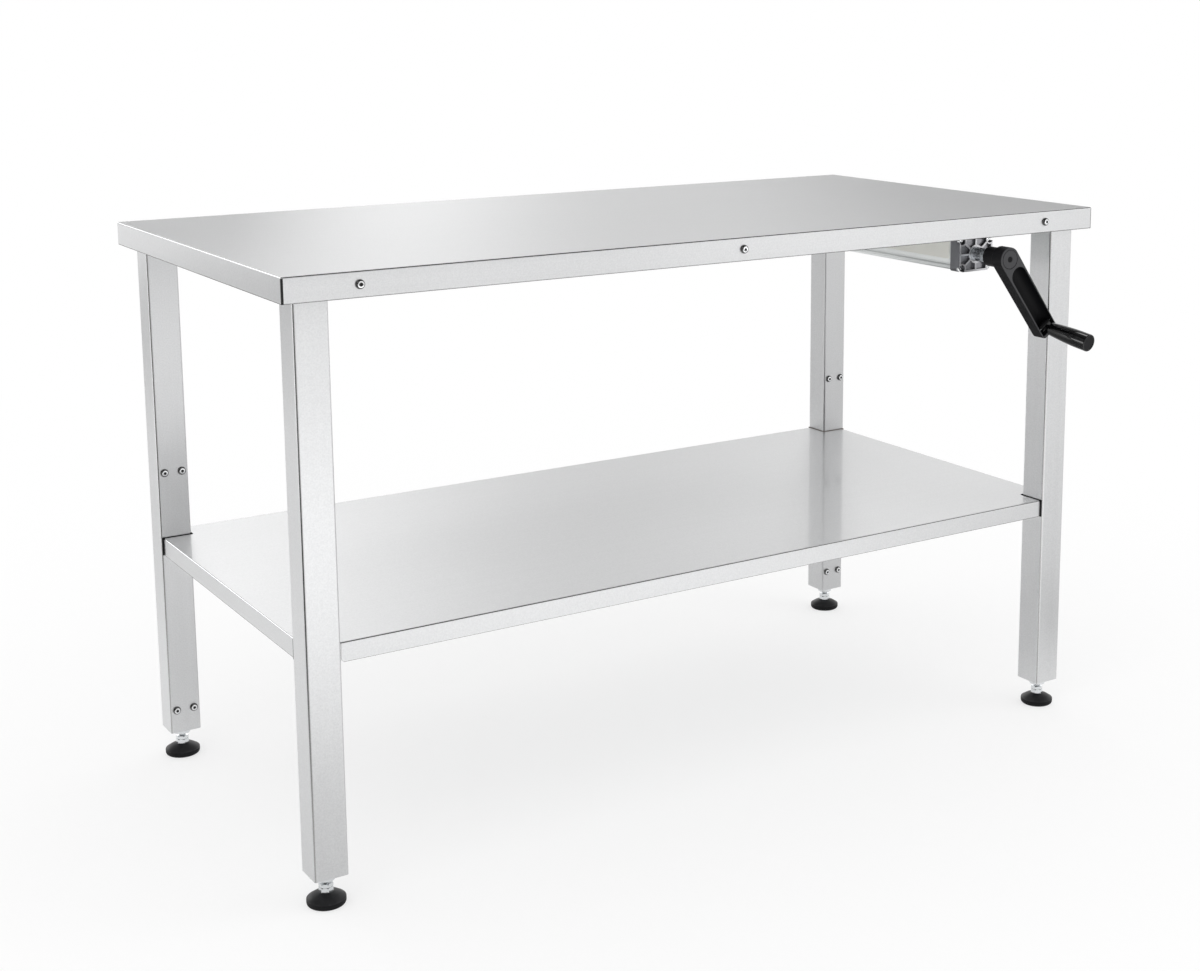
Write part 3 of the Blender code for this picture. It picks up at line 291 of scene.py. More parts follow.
# painted highlight: a lighter black for the crank's front face, which also has a satin finish
satinBlackLitPaint = mouldedPlastic("satin_black_painted_highlight", (0.022, 0.022, 0.0245), (0.033, 0.033, 0.0365), 0.36, 2200.0, 0.08)
grainedBlack = mouldedPlastic("grained_black", deepBlack, softBlack, 0.46, 2200.0, 0.08, shine=0.12)
mattBlack = mouldedPlastic("matt_black", deepBlack, softBlack, 0.50, 1800.0, 0.08, shine=0.15)
glossBlack = mouldedPlastic(
    "gloss_black", (0.0015, 0.0015, 0.0018), (0.003, 0.003, 0.0035), 0.05, 700.0, 0.003,
)
padRubber = mouldedPlastic("pad_rubber", (0.007, 0.007, 0.008), (0.015, 0.015, 0.017), 0.38, 900.0, 0.12)
# pale brown painted shade for the shelf bead at the rear right leg
beadPaleShadePaint = mouldedPlastic(
    "bead_pale_painted_shade", (0.16, 0.140, 0.128), (0.30, 0.27, 0.25), 0.50, 700.0, 0.08, shine=0.15,
)
plateFilm = mouldedPlastic("plate_film", (0.90, 0.90, 0.83), (0.96, 0.96, 0.90), 0.35, 500.0, 0.03)

finishOfSlot = {
    "stainless": steelLengthwise,
    "zinc": zincPlate,
    "chrome": hardChrome,
    "aluminium": extrusion,
    "die_cast": casting,
    "crank_black": satinBlackLitPaint,
    "grip_black": glossBlack,
    "rubber": padRubber,
}
for nodeName, node in frame["nodes"].items():
    node.data.materials.clear()
    node.data.materials.append(finishOfSlot[slotOfNode[nodeName]])
for nodeName in ("left_rail", "right_rail", "stiffener_left", "stiffener_middle", "pump_carrier"):
    frame["nodes"][nodeName].data.materials[0] = steelCrosswise
print("finishes made:", len(bpy.data.materials))


# mesh helpers
def arcPoints(center, radius, start, end, steps):
    angles = [math.radians(start + (end - start) * step / steps) for step in range(steps + 1)]
    return [(center[0] + radius * math.cos(a), center[1] + radius * math.sin(a)) for a in angles]


def turnedShape(profile, segments):
    bm = bmesh.new()
    points = [bm.verts.new((radius, 0, height)) for radius, height in profile]
    lines = [bm.edges.new(pair) for pair in zip(points, points[1:])]
    bmesh.ops.spin(
        bm, geom=points + lines, cent=(0, 0, 0), axis=(0, 0, 1), angle=2 * math.pi,
        steps=segments, use_merge=True,
    )
    return tidied(bm)


def prismShape(outline, front, back):
    bm = bmesh.new()
    face = bm.faces.new([bm.verts.new((x, front, z)) for x, z in outline])
    grown = bmesh.ops.extrude_face_region(bm, geom=[face])["geom"]
    far = [item for item in grown if isinstance(item, bmesh.types.BMVert)]
    bmesh.ops.translate(bm, vec=(0, back - front, 0), verts=far)
    return tidied(bm)


def tidied(bm):
    bmesh.ops.remove_doubles(bm, verts=bm.verts, dist=1e-6)
    bmesh.ops.recalc_face_normals(bm, faces=bm.faces)
    return bm


def moved(bm, place):
    bmesh.ops.transform(bm, matrix=place, verts=bm.verts)
    return bm


def asObject(name, bm):
    mesh = bpy.data.meshes.new(name)
    bm.to_mesh(mesh)
    bm.free()
    made = bpy.data.objects.new(name, mesh)
    bpy.context.scene.collection.objects.link(made)
    return made


def gathered(shapes):
    target = bmesh.new()
    for shape in shapes:
        mesh = bpy.data.meshes.new("gathered")
        shape.to_mesh(mesh)
        shape.free()
        target.from_mesh(mesh)
        bpy.data.meshes.remove(mesh)
    return target


def carved(base, steps):
    holder = asObject("carved", base)
    helpers = []
    for operation, tool in steps:
        helper = asObject("tool", tool)
        modifier = holder.modifiers.new("step", "BOOLEAN")
        modifier.operation = operation
        modifier.object = helper
        helpers.append(helper)
    bpy.context.view_layer.update()
    graph = bpy.context.evaluated_depsgraph_get()
    mesh = bpy.data.meshes.new_from_object(holder.evaluated_get(graph))
    result = bmesh.new()
    result.from_mesh(mesh)
    bpy.data.meshes.remove(mesh)
    for spent in (holder, *helpers):
        bpy.data.objects.remove(spent)
    return result


def finished(name, bm, materials, body, replaced=(), sharp=35, sheet=0.0):
    piece = asObject(name, bm)
    for material in materials:
        piece.data.materials.append(material)
    piece.data.shade_smooth()
    piece.data.set_sharp_from_angle(angle=math.radians(sharp))
    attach(piece, body)
    if replaced:
        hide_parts(*replaced)
    if sheet:
        wall = piece.modifiers.new("sheet", "SOLIDIFY")
        wall.thickness = sheet
        wall.offset = -1
        wall.use_even_offset = True
    shading = piece.modifiers.new("shading", "WEIGHTED_NORMAL")   # flat faces stay flat beside their bends
    shading.keep_sharp = True
    shading.weight = 100
    return piece


def refined(nodeName, material, body, rounding=0.0):
    bm = bmesh.new()
    bm.from_mesh(frame["nodes"][nodeName].data)
    bmesh.ops.remove_doubles(bm, verts=bm.verts, dist=1e-5)
    bmesh.ops.dissolve_limit(bm, angle_limit=math.radians(0.5), verts=bm.verts, edges=bm.edges)
    for face in bm.faces:
        face.material_index = 0
    piece = finished(nodeName + "_dressed", bm, [material], body, [nodeName])
    if rounding:
        edges = piece.modifiers.new("edges", "BEVEL")
        edges.width = rounding
        edges.segments = 2
        edges.limit_method = "ANGLE"
        edges.angle_limit = math.radians(40)
        edges.harden_normals = True
    return piece


def boxOf(nodeName):
    low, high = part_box(nodeName)
    return Vector(low), Vector(high)


def rounded(bm, edges, width, steps):
    bmesh.ops.bevel(
        bm, geom=edges, offset=width, segments=steps, profile=0.5, affect="EDGES", material=-1,
        clamp_overlap=True,
    )


def boxShape(low, high):
    bm = bmesh.new()
    bmesh.ops.create_cube(bm, size=1.0)
    bmesh.ops.scale(bm, vec=high - low, verts=bm.verts)
    bmesh.ops.translate(bm, vec=(low + high) / 2, verts=bm.verts)
    return bm


# long sides and top 0, ends 1, the unbrushed line along a bend 2, painted dark as a painted dark reflection,
# polished end bends 3, painted bright as a painted highlight
def sheetFinish(face):
    across, along, up = (abs(part) for part in face.normal)
    if along > 0.55 and max(across, up) > 0.55:
        return 2
    if across > 0.3 and up > 0.3:
        return 3
    return 1 if across > 0.75 else 0


# folded top
topSheet = {
    "bend": 0.003,
    "bendSteps": 6,
    "sheet": 0.0015,
    "seamDepth": 0.0007,
    "seamTop": 0.002,   # where the seam stops below the top face
    "lip": 0.0012,      # the cut edge all round, painted darker as painted shade
}


def makeTop():
    bm = boxShape(*boxOf("tabletop"))
    underside = [face for face in bm.faces if face.normal.z < -0.5]
    bmesh.ops.delete(bm, geom=underside, context="FACES")
    bends = [edge for edge in bm.edges if not edge.is_boundary]
    rounded(bm, bends, topSheet["bend"], topSheet["bendSteps"])
    low, high = boxOf("tabletop")
    lip = low.z + topSheet["lip"]
    everything = [*bm.verts, *bm.edges, *bm.faces]
    bmesh.ops.bisect_plane(bm, geom=everything, plane_co=(0, 0, lip), plane_no=(0, 0, 1))
    for face in bm.faces:   # the front skirt meets each end in a narrow seam, painted near-black as painted shade
        seam = abs(face.normal.z) < 0.2 and face.normal.y < -0.1 and abs(face.normal.x) > 0.1
        finish = sheetFinish(face)
        if finish == 3:   # an end bend is painted dark above as a painted dark reflection, polished and painted bright half way as a painted highlight, and brushed below
            finish = 2 if face.normal.z > 0.9 else 3 if face.normal.z > 0.5 else 1
        cut = 2 if face.calc_center_median().z < lip else finish
        face.material_index = 4 if seam else cut
    inset = topSheet["bend"] * (1 - math.sqrt(0.5))
    seamTop = high.z - topSheet["seamTop"]
    for vert in bm.verts:
        fromEnd = high.x - abs(vert.co.x)
        if max(abs(fromEnd - inset), abs(vert.co.y - low.y - inset)) < 2e-5 and vert.co.z < seamTop:
            vert.co.x -= math.copysign(topSheet["seamDepth"], vert.co.x)
            vert.co.y += topSheet["seamDepth"]
    bmesh.ops.recalc_face_normals(bm, faces=bm.faces)
    finishes = [steelLengthwise, steelCrosswise, steelBendDarkPaint, steelEdgeHighlightPaint, shadeBlackSteel]
    finished("folded_top", bm, finishes, "frame", ["tabletop"], sheet=topSheet["sheet"])


# leg tubes
legTube = {"corner": 0.004, "cornerSteps": 6, "wall": 0.0016}


def makeLegs():
    for corner in corners:
        node = "leg_" + corner
        bm = boxShape(*boxOf(node))
        ends = [face for face in bm.faces if abs(face.normal.z) > 0.5]
        bmesh.ops.delete(bm, geom=ends, context="FACES")
        bends = [edge for edge in bm.edges if not edge.is_boundary]
        rounded(bm, bends, legTube["corner"], legTube["cornerSteps"])
        for face in bm.faces:   # an unbrushed line down two opposite corners, painted dark as a painted dark reflection
            line = sheetFinish(face) == 2 and face.normal.x * face.normal.y > 0
            face.material_index = 1 if line else 0
        # the rear right tube is painted darker all over as painted shade, without the dark corner lines
        finishes = [steelPaintedShade, steelPaintedShade] if corner == "rear_right" else [steelUpright, steelCornerDarkPaint]
        finished("tube_" + corner, bm, finishes, "frame", [node], sheet=legTube["wall"])


# folded shelf
shelfSheet = {
    "bend": 0.0025,
    "bendSteps": 6,
    "sheet": 0.0015,
    "legGap": 0.002,
    "cornerCut": 0.004,
    "lip": 0.001,
}


def makeShelf():
    low, high = boxOf("shelf")
    leg = boxOf("leg_rear_right")[0]
    notchX = leg.x - shelfSheet["legGap"]
    notchY = leg.y - shelfSheet["legGap"]
    quarter = [(high.x, notchY), (notchX, notchY), (notchX, high.y)]
    outline = quarter + [(-x, y) for x, y in reversed(quarter)]
    outline += [(-x, -y) for x, y in quarter] + [(x, -y) for x, y in reversed(quarter)]
    bm = bmesh.new()
    bm.faces.new([bm.verts.new((x, y, high.z)) for x, y in outline])

    def onSide(edge):
        first, last = (vert.co for vert in edge.verts)
        alongY = abs(first.x - last.x) < 1e-6 and abs(abs(first.x) - high.x) < 1e-5
        alongX = abs(first.y - last.y) < 1e-6 and abs(abs(first.y) - high.y) < 1e-5
        return alongX or alongY

    sides = [edge for edge in bm.edges if onSide(edge)]
    grown = bmesh.ops.extrude_edge_only(bm, edges=sides)["geom"]
    lower = [item for item in grown if isinstance(item, bmesh.types.BMVert)]
    bmesh.ops.translate(bm, vec=(0, 0, low.z - high.z), verts=lower)
    bmesh.ops.recalc_face_normals(bm, faces=bm.faces)
    bmesh.ops.bevel(
        bm, geom=lower, offset=shelfSheet["cornerCut"], segments=5, profile=0.5, affect="VERTICES",
        material=-1,
    )
    bends = [edge for edge in bm.edges if not edge.is_boundary]
    rounded(bm, bends, shelfSheet["bend"], shelfSheet["bendSteps"])
    lip = low.z + shelfSheet["lip"]
    everything = [*bm.verts, *bm.edges, *bm.faces]
    bmesh.ops.bisect_plane(bm, geom=everything, plane_co=(0, 0, lip), plane_no=(0, 0, 1))
    # the strip below the lip is painted dark as painted shade
    for face in bm.faces:
        face.material_index = 4 if face.calc_center_median().z < lip else sheetFinish(face)
    finishes = [steelShelf, steelCrosswise, steelBendDarkPaint, steelEdgeHighlightPaint, steelCornerDarkPaint]
    finished("folded_shelf", bm, finishes, "frame", ["shelf"], sheet=shelfSheet["sheet"])


# a dark bead fills the gap round each leg, painted dark as painted shade where there is only shadow
shelfBead = {"over": 0.0026, "under": -0.004, "proud": 0.0011, "edge": 0.0004}


def makeShelfBeads():
    low, high = boxOf("shelf")
    leg = boxOf("leg_rear_right")[0]
    near = leg - Vector((shelfSheet["legGap"], shelfSheet["legGap"], 0))
    endX = high.x + shelfBead["over"]
    turnUp = Matrix.Rotation(math.pi / 2, 4, "X")
    for corner in corners:   # at the left it ends out of sight behind the leg
        endY = high.y + shelfBead["under" if corner.endswith("left") else "over"]
        plan = [(endX, near.y), (near.x, near.y), (near.x, endY)]
        plan += [(leg.x, endY), (leg.x, leg.y), (endX, leg.y)]
        sideX = 1 if corner.endswith("right") else -1
        sideY = 1 if corner.startswith("rear") else -1
        outline = [(sideX * x, -sideY * y) for x, y in plan]
        bm = moved(prismShape(outline, low.z, high.z + shelfBead["proud"]), turnUp)
        rim = [edge for edge in bm.edges if min(vert.co.z for vert in edge.verts) > high.z]
        rounded(bm, rim, shelfBead["edge"], 2)
        # painted shade, paler and browner at the rear right
        bead = beadPaleShadePaint if corner == "rear_right" else mattBlack
        finished("shelf_shade_bead_" + corner, bm, [bead], "frame")


# bolts, screws and nuts: turned blanks whose rings are pressed to a hexagon or a cross
def hexagonRule(flats):
    sixth = math.pi / 3
    return lambda angle: flats / 2 / math.cos((angle + sixth / 2) % sixth - sixth / 2)


def crossRule(arm, core, half):
    quarter = math.pi / 2
    return lambda angle: arm if abs((angle + quarter / 2) % quarter - quarter / 2) < half else core


def pressed(bm, radius, rule):
    for vert in bm.verts:
        reach = math.hypot(vert.co.x, vert.co.y)
        if abs(reach - radius) < 1e-6:
            share = rule(math.atan2(vert.co.y, vert.co.x)) / radius
            vert.co.x *= share
            vert.co.y *= share
    return bm


def facing(side):
    return Matrix.Rotation(-side * math.pi / 2, 4, "X")


buttonBolt = {
    "head": 0.007,
    "height": 0.0044,
    "land": 0.0034,
    "socket": 0.0045,
    "socketDepth": 0.0027,
    "socketTaper": 0.98,
    "mouthEdge": 0.0002,
    "drillPoint": 0.0006,
    "shank": 0.004,
    "bright": 0.95,   # how far up a face must point to keep the polished colour; below that the dome is painted dark as a painted dark reflection
}
boltFinishes = [brightBolt, shadeBlackSteel, boltDarkPaint]


def boltShape(shankLength):
    size = buttonBolt
    head, height, land, shank = (size[key] for key in ("head", "height", "land", "shank"))
    dome = head - land
    floor = height - size["socketDepth"]
    mouth = size["socket"] / math.sqrt(3)
    rings = (mouth * size["socketTaper"], mouth, mouth + size["mouthEdge"])
    profile = [(0, floor - size["drillPoint"])]
    profile += zip(rings, (floor, height - size["mouthEdge"], height))
    profile += arcPoints((land, height - dome), dome, 90, 0, 8)
    profile += [(head, 0), (shank, 0), (shank, -shankLength), (0, -shankLength)]
    bm = turnedShape(profile, 48)
    for ring in rings:
        pressed(bm, ring, hexagonRule(2 * ring * math.cos(math.pi / 6)))
    for face in bm.faces:   # land 0, the inside of the socket 1, painted near-black as painted shade, the dome round them 2, painted dark as a painted dark reflection
        middle = face.calc_center_median()
        inSocket = middle.z > 0 and middle.xy.length < mouth
        face.material_index = 1 if inSocket else 2 if face.normal.z < size["bright"] else 0
    return bm


skirtBolts = {"count": 6, "shank": 0.016}


def makeSkirtBolts():
    for count in range(1, skirtBolts["count"] + 1):
        node = f"skirt_bolt_{count}"
        low, high = boxOf(node)
        side = 1 if low.y > 0 else -1
        outer = high.y if side > 0 else low.y
        seat = outer - side * buttonBolt["height"]
        middle = (low + high) / 2
        place = Matrix.Translation((middle.x, seat, middle.z)) @ facing(side)
        bm = moved(boltShape(skirtBolts["shank"]), place)
        finished(f"skirt_button_{count}", bm, boltFinishes, "frame", [node])


legBolts = {"spread": 0.015, "heights": (0.090, 0.517), "shank": 0.004}


def makeLegBolts():
    for corner in corners:
        low, high = boxOf("leg_" + corner)
        side = 1 if low.y < 0 else -1
        face = high.y if side > 0 else low.y
        middle = (low.x + high.x) / 2
        shapes = []
        for height in legBolts["heights"]:
            for offset in (-legBolts["spread"], legBolts["spread"]):
                place = Matrix.Translation((middle + offset, face, height)) @ facing(side)
                shapes.append(moved(boltShape(legBolts["shank"]), place))
        finished("leg_bolts_" + corner, gathered(shapes), boltFinishes, "frame")


# levelling feet
footPad = {
    "radius": 0.0293,
    "height": 0.0193,
    "neck": 0.0112,
    "neckEdge": 0.0008,
    "bore": 0.0064,
    "boreFloor": 0.008,
    "crown": ((0.0165, 0.0174), (0.0215, 0.0151), (0.0250, 0.0129), (0.0277, 0.0106)),   # radius, height
    "rim": 0.0018,
    "rimHeight": 0.0092,
    "edge": 0.0050,
    "sole": 0.020,
    "soleStep": 0.0012,
    "soleTaper": 0.001,
}


def padShape():
    size = footPad
    radius, edge, rim, top, step = (size[key] for key in ("radius", "edge", "rim", "height", "soleStep"))
    profile = [(0, size["boreFloor"]), (size["bore"], size["boreFloor"]), (size["bore"], top)]
    profile += [(size["neck"], top), (size["neck"] + 0.75 * size["neckEdge"], top - size["neckEdge"])]
    profile += size["crown"]
    profile += arcPoints((radius - rim, size["rimHeight"]), rim, 40, 0, 3)
    profile += arcPoints((radius - edge, edge), edge, 0, -90, 8)
    profile += [(size["sole"], 0), (size["sole"] - size["soleTaper"], step), (0, step)]
    bm = turnedShape(profile, 72)
    for face in bm.faces:   # the rim is duller than the crown
        face.material_index = 1 if face.normal.z < 0.3 else 0
    return bm


footHex = {"flats": 0.019, "chamfer": 0.0012, "gap": 0.0003}


def hexShape(low, high, bore=0.0):
    corner = footHex["flats"] / math.sqrt(3)
    edge = corner - footHex["chamfer"]
    drop = 0.6 * footHex["chamfer"]
    profile = [(bore, high), (edge, high), (corner, high - drop)]
    profile += [(corner, low + drop), (edge, low), (bore, low)]
    if bore:
        profile.append((bore, high))
    bm = turnedShape(profile, 72)
    flat = hexagonRule(footHex["flats"])
    pressed(bm, corner, flat)
    pressed(bm, edge, lambda angle: min(edge, flat(angle)))
    return bm


footThread = {
    "core": 0.0051,
    "crest": 0.006,
    "pitch": 0.00175,
    "flanks": (0.04, 0.44, 0.56, 0.96),   # where they start and end, as shares of the pitch
    "steps": 24,
    "sink": 0.0003,      # how deep the thread's root goes into the rod
    "point": 0.0006,
    "inNut": 0.003,
    "runOut": 0.001,
    "fit": 0.0002,
}


def threadShape(low, high):
    core, crest, pitch, steps = (footThread[key] for key in ("core", "crest", "pitch", "steps"))
    turns = int((high - low) / pitch) - 1
    bm = bmesh.new()
    radii = (core, crest, crest, core)
    section = [(core - footThread["sink"], 0)]
    section += [(radius, share * pitch) for radius, share in zip(radii, footThread["flanks"])]
    face = bm.faces.new([bm.verts.new((radius, 0, low + height)) for radius, height in section])
    start = [face] + list(face.edges) + list(face.verts)
    bmesh.ops.spin(
        bm, geom=start, cent=(0, 0, 0), axis=(0, 0, 1), dvec=(0, 0, pitch / steps),
        angle=2 * math.pi * turns, steps=steps * turns,
    )
    return tidied(bm)


def studShape(corner):
    low, high = (end.z for end in boxOf("foot_stud_" + corner))
    nutLow, nutHigh = (end.z for end in boxOf("jam_nut_" + corner))
    padTop = boxOf("foot_pad_" + corner)[1].z
    core = footThread["core"]
    hexagon = hexShape(padTop + footHex["gap"], nutLow - footHex["gap"])
    rod = turnedShape([(0, high), (core, high - footThread["point"]), (core, low), (0, low)], 32)
    thread = threadShape(nutHigh - footThread["inNut"], high - footThread["runOut"])
    return gathered([hexagon, rod, thread])


glandRing = {
    "bore": 0.0105,
    "nose": 0.0144,
    "noseHeight": 0.0058,
    "chamfer": 0.0008,
    "body": 0.0150,
    "inside": 0.0141,
    "skin": 0.0002,
    "reach": 0.004,   # up into the leg
}


def glandShape(corner):
    size = glandRing
    bore, nose, body, inside = (size[key] for key in ("bore", "nose", "body", "inside"))
    foot = boxOf("lift_cylinder_" + corner)[0].z
    top = boxOf("leg_" + corner)[0].z + size["reach"]
    under, over = foot - size["skin"], foot + size["skin"]
    shoulder = foot + size["noseHeight"]
    profile = [(bore, under), (nose - size["chamfer"], under), (nose, under + size["chamfer"])]
    profile += [(nose, shoulder), (body, shoulder + body - nose), (body, top), (inside, top), (inside, over)]
    profile += [(bore, over), (bore, under)]
    return turnedShape(profile, 64)


def makeFeet():
    for corner in corners:
        low, high = boxOf("foot_pad_" + corner)
        place = Matrix.Translation(((low.x + high.x) / 2, (low.y + high.y) / 2, 0))
        foot = "foot_" + corner
        pad = moved(padShape(), place)
        finished("pad_" + corner, pad, [padRubber, mattBlack], foot, ["foot_pad_" + corner], 50)
        stud = moved(studShape(corner), place)
        finished("stud_" + corner, stud, [zincPlate], foot, ["foot_stud_" + corner])
        nutLow, nutHigh = (end.z for end in boxOf("jam_nut_" + corner))
        nut = moved(hexShape(nutLow, nutHigh, footThread["crest"] + footThread["fit"]), place)
        finished("locknut_" + corner, nut, [zincPlate], foot, ["jam_nut_" + corner])
        refined("piston_rod_" + corner, hardChrome, "rod_" + corner)
        finished("gland_" + corner, moved(glandShape(corner), place), [zincPlate], "frame")


# crank arm, in its own frame: along -Z from the shaft, front face at y 0
shaft = Vector(joints["crank_turn"]["pos_m"])
fold = Vector(joints["handle_fold"]["pos_m"])
gripAxis = Vector(joints["grip_spin"]["axis"])
armAngle = math.atan2(fold.x - shaft.x, shaft.z - fold.z)
droop = math.acos(-gripAxis.y)
armPlace = Matrix.Translation(shaft) @ Matrix.Rotation(-armAngle, 4, "Y")
foldPlace = Matrix.Translation(fold) @ Matrix.Rotation(-armAngle, 4, "Y") @ Matrix.Rotation(droop, 4, "X")
lyingY = Matrix.Rotation(math.pi / 2, 4, "X")   # a turned shape's top towards -Y

crankArm = {
    "hub": 0.021,
    "endHalf": 0.019,
    "corner": 0.008,
    "length": 0.173,
    "depth": 0.025,
    "edge": 0.0014,
    "endRound": 0.012,
    "troughHalf": 0.0172,
    "troughTop": 0.022,
    "troughFloor": 0.0025,
    "endWall": 0.006,
    "lap": 0.0002,            # between two cuts that make one hollow
    "neck": 0.0173,
    "neckLength": 0.027,
    "neckEdge": 0.0015,
    "fillet": ((0.0025, 0.0002), (0.0008, 0.0009), (0.0, 0.0028)),   # out from the neck, back from the arm
    "counterbore": 0.0132,
    "counterDepth": 0.002,
    "counterTaper": 0.0004,
    "ring": 0.0165,           # groove round the hub's face
    "ringWidth": 0.0013,
    "ringWall": 0.0004,
    "ringDepth": 0.0012,
    "ringClear": 0.0006,      # how far the cut stands out of the face
    "screw": 0.0053,
    "screwSink": 0.0012,
    "screwClear": 0.001,
}


def armBlank():
    size = crankArm
    cornerX = size["endHalf"] - size["corner"]
    cornerZ = size["corner"] - size["length"]
    outline = arcPoints((0, 0), size["hub"], 0, 180, 48)
    outline += arcPoints((-cornerX, cornerZ), size["corner"], 180, 270, 12)
    outline += arcPoints((cornerX, cornerZ), size["corner"], 270, 360, 12)
    bm = prismShape(outline, 0, size["depth"])
    caps = [face for face in bm.faces if abs(face.normal.y) > 0.9]
    rims = {edge for face in caps for edge in face.edges}
    rounded(bm, list(rims), size["edge"], 4)
    return tidied(bm)


def armEndRound():
    size = crankArm
    center = (size["depth"] - size["endRound"], size["endRound"] - size["length"])
    sweep = arcPoints(center, size["endRound"], -88, -2, 20)
    outside = size["endRound"]
    loop = sweep + [
        (size["depth"] + outside, sweep[-1][1]),
        (size["depth"] + outside, -size["length"] - outside),
        (sweep[0][0], -size["length"] - outside),
    ]
    return moved(prismShape(loop, -2 * size["hub"], 2 * size["hub"]), Matrix.Rotation(math.pi / 2, 4, "Z"))


def armTrough():
    size = crankArm
    half, lap = size["troughHalf"], size["lap"]
    axisY = size["depth"] - size["troughFloor"] - half
    nose = -size["troughTop"] - half
    end = size["endWall"] - size["length"]
    bullet = turnedShape([*arcPoints((0, nose), half, 90, 0, 16), (half, end), (0, end)], 64)
    walls = arcPoints((0, nose), half - lap, 0, 180, 32) + [(lap - half, end + lap), (half - lap, end + lap)]
    return [moved(bullet, Matrix.Translation((0, axisY, 0))), prismShape(walls, -size["depth"], axisY + lap)]


def armNeck():
    size = crankArm
    depth, radius, rim, bore = (size[key] for key in ("depth", "neck", "neckEdge", "counterbore"))
    back = depth + size["neckLength"]
    boreFloor = size["counterDepth"] - back
    profile = [(0, -0.5 * depth), (radius, -0.5 * depth)]
    profile += [(radius + out, -depth - down) for out, down in size["fillet"]]
    profile += arcPoints((radius - rim, rim - back), rim, 0, -90, 5)
    profile += [(bore, -back), (bore - size["counterTaper"], boreFloor), (0, boreFloor)]
    return moved(turnedShape(profile, 64), lyingY)


def hubRing():
    size = crankArm
    ring, wall, clear = size["ring"], size["ringWall"], size["ringClear"]
    inner, outer = ring - size["ringWidth"] / 2, ring + size["ringWidth"] / 2
    profile = [(inner, clear), (inner, -wall), (ring, -size["ringDepth"])]
    profile += [(outer, -wall), (outer, clear), (inner, clear)]
    return moved(turnedShape(profile, 64), lyingY)


def screwRecess():
    radius, sink, clear = (crankArm[key] for key in ("screw", "screwSink", "screwClear"))
    return moved(turnedShape([(0, clear), (radius, clear), (radius, -sink), (0, -sink)], 48), lyingY)


hubScrew = {"radius": 0.0050, "edge": 0.0004, "length": 0.004, "socket": 0.0014, "socketDepth": 0.0006}


def screwShape():
    radius, edge, length, socket, floor = hubScrew.values()
    profile = [(0, -floor), (socket, -floor), (socket, 0.0), (radius - edge, 0.0)]
    profile += [(radius, -edge), (radius, -length), (0, -length)]
    return turnedShape(profile, 48)


def makeCrank():
    cuts = [armEndRound(), *armTrough()]
    steps = [("DIFFERENCE", tool) for tool in cuts] + [("UNION", armNeck())]
    steps += [("DIFFERENCE", hubRing()), ("DIFFERENCE", screwRecess())]
    bm = carved(armBlank(), steps)
    bmesh.ops.remove_doubles(bm, verts=bm.verts, dist=1e-6)
    for face in bm.faces:   # the front face and its rounded rim are satin and painted lighter as a painted highlight, the rest grained
        front = face.normal.y < -0.35 and face.calc_center_median().y < crankArm["edge"]
        face.material_index = 0 if front else 1
    blacks = [satinBlackLitPaint, grainedBlack]
    finished("crank_moulding", moved(bm, armPlace), blacks, "crank", ["crank_arm"], 30)
    screw = moved(screwShape(), armPlace @ lyingY)
    finished("hub_screw", screw, [mattBlack], "crank", ["crank_hub_screw"])


# folding handle; the grip swells as the solid part does
grip = {
    "root": 0.0183,
    "reach": 0.102,
    "rootRadius": 0.0117,
    "rootEdge": 0.001,
    "endRadius": 0.0155,
    "swell": 0.8,
    "steps": 24,
    "edge": 0.0018,
    "dish": 0.0122,
    "dishDepth": 0.0004,
    "dishTaper": 0.0003,
    "dullEnd": 0.0135,
    "knuckleEdge": 0.0003,
}


def makeGrip():
    size = grip
    root, reach, rootRadius, rootEdge = (size[key] for key in ("root", "reach", "rootRadius", "rootEdge"))
    profile = [(0, root), (rootRadius - rootEdge, root)]
    for step in range(size["steps"] + 1):
        share = step / size["steps"]
        height = root + rootEdge + share * (reach - root - rootEdge - size["edge"])
        swell = math.sin(math.pi / 2 * min(1, share / size["swell"]))
        profile.append((rootRadius + (size["endRadius"] - rootRadius) * swell, height))
    profile += arcPoints((size["endRadius"] - size["edge"], reach - size["edge"]), size["edge"], 0, 90, 6)
    floor = reach - size["dishDepth"]
    profile += [(size["dish"], reach), (size["dish"] - size["dishTaper"], floor), (0, floor)]
    bm = moved(turnedShape(profile, 72), foldPlace @ lyingY)
    end = foldPlace @ Vector((0, -reach, 0))
    for face in bm.faces:
        flat = abs(face.normal.dot(gripAxis)) > 0.9
        atEnd = (face.calc_center_median() - end).length < size["dullEnd"]
        face.material_index = 1 if flat and atEnd else 0
    finished("turning_grip", bm, [glossBlack, mattBlack], "grip", ["handle_grip"])


# pump under the top
capScrews = {
    "spreadX": 0.032,
    "spreadZ": 0.0245,
    "sink": 0.008,
    "head": 0.0056,
    "height": 0.0040,
    "edge": 0.0020,
    "cross": 0.0033,
    "crossFloor": 0.0030,
    "crossCore": 0.0011,
    "crossHalf": 0.2,          # of an arm, as an angle
    "crossDepth": 0.0014,
    "point": 0.0019,
    "turn": (0.5, 20, 31),     # each screw stops at its own angle
}


def panScrew():
    size = capScrews
    head, height, edge = size["head"], size["height"], size["edge"]
    profile = [(0, height - size["point"]), (size["crossFloor"], height - size["crossDepth"])]
    profile += [(size["cross"], height)]
    profile += arcPoints((head - edge, height - edge), edge, 90, 0, 5) + [(head, 0), (0, 0)]
    bm = turnedShape(profile, 64)
    for ring in (size["crossFloor"], size["cross"]):
        pressed(bm, ring, crossRule(ring, size["crossCore"], size["crossHalf"]))
    return bm


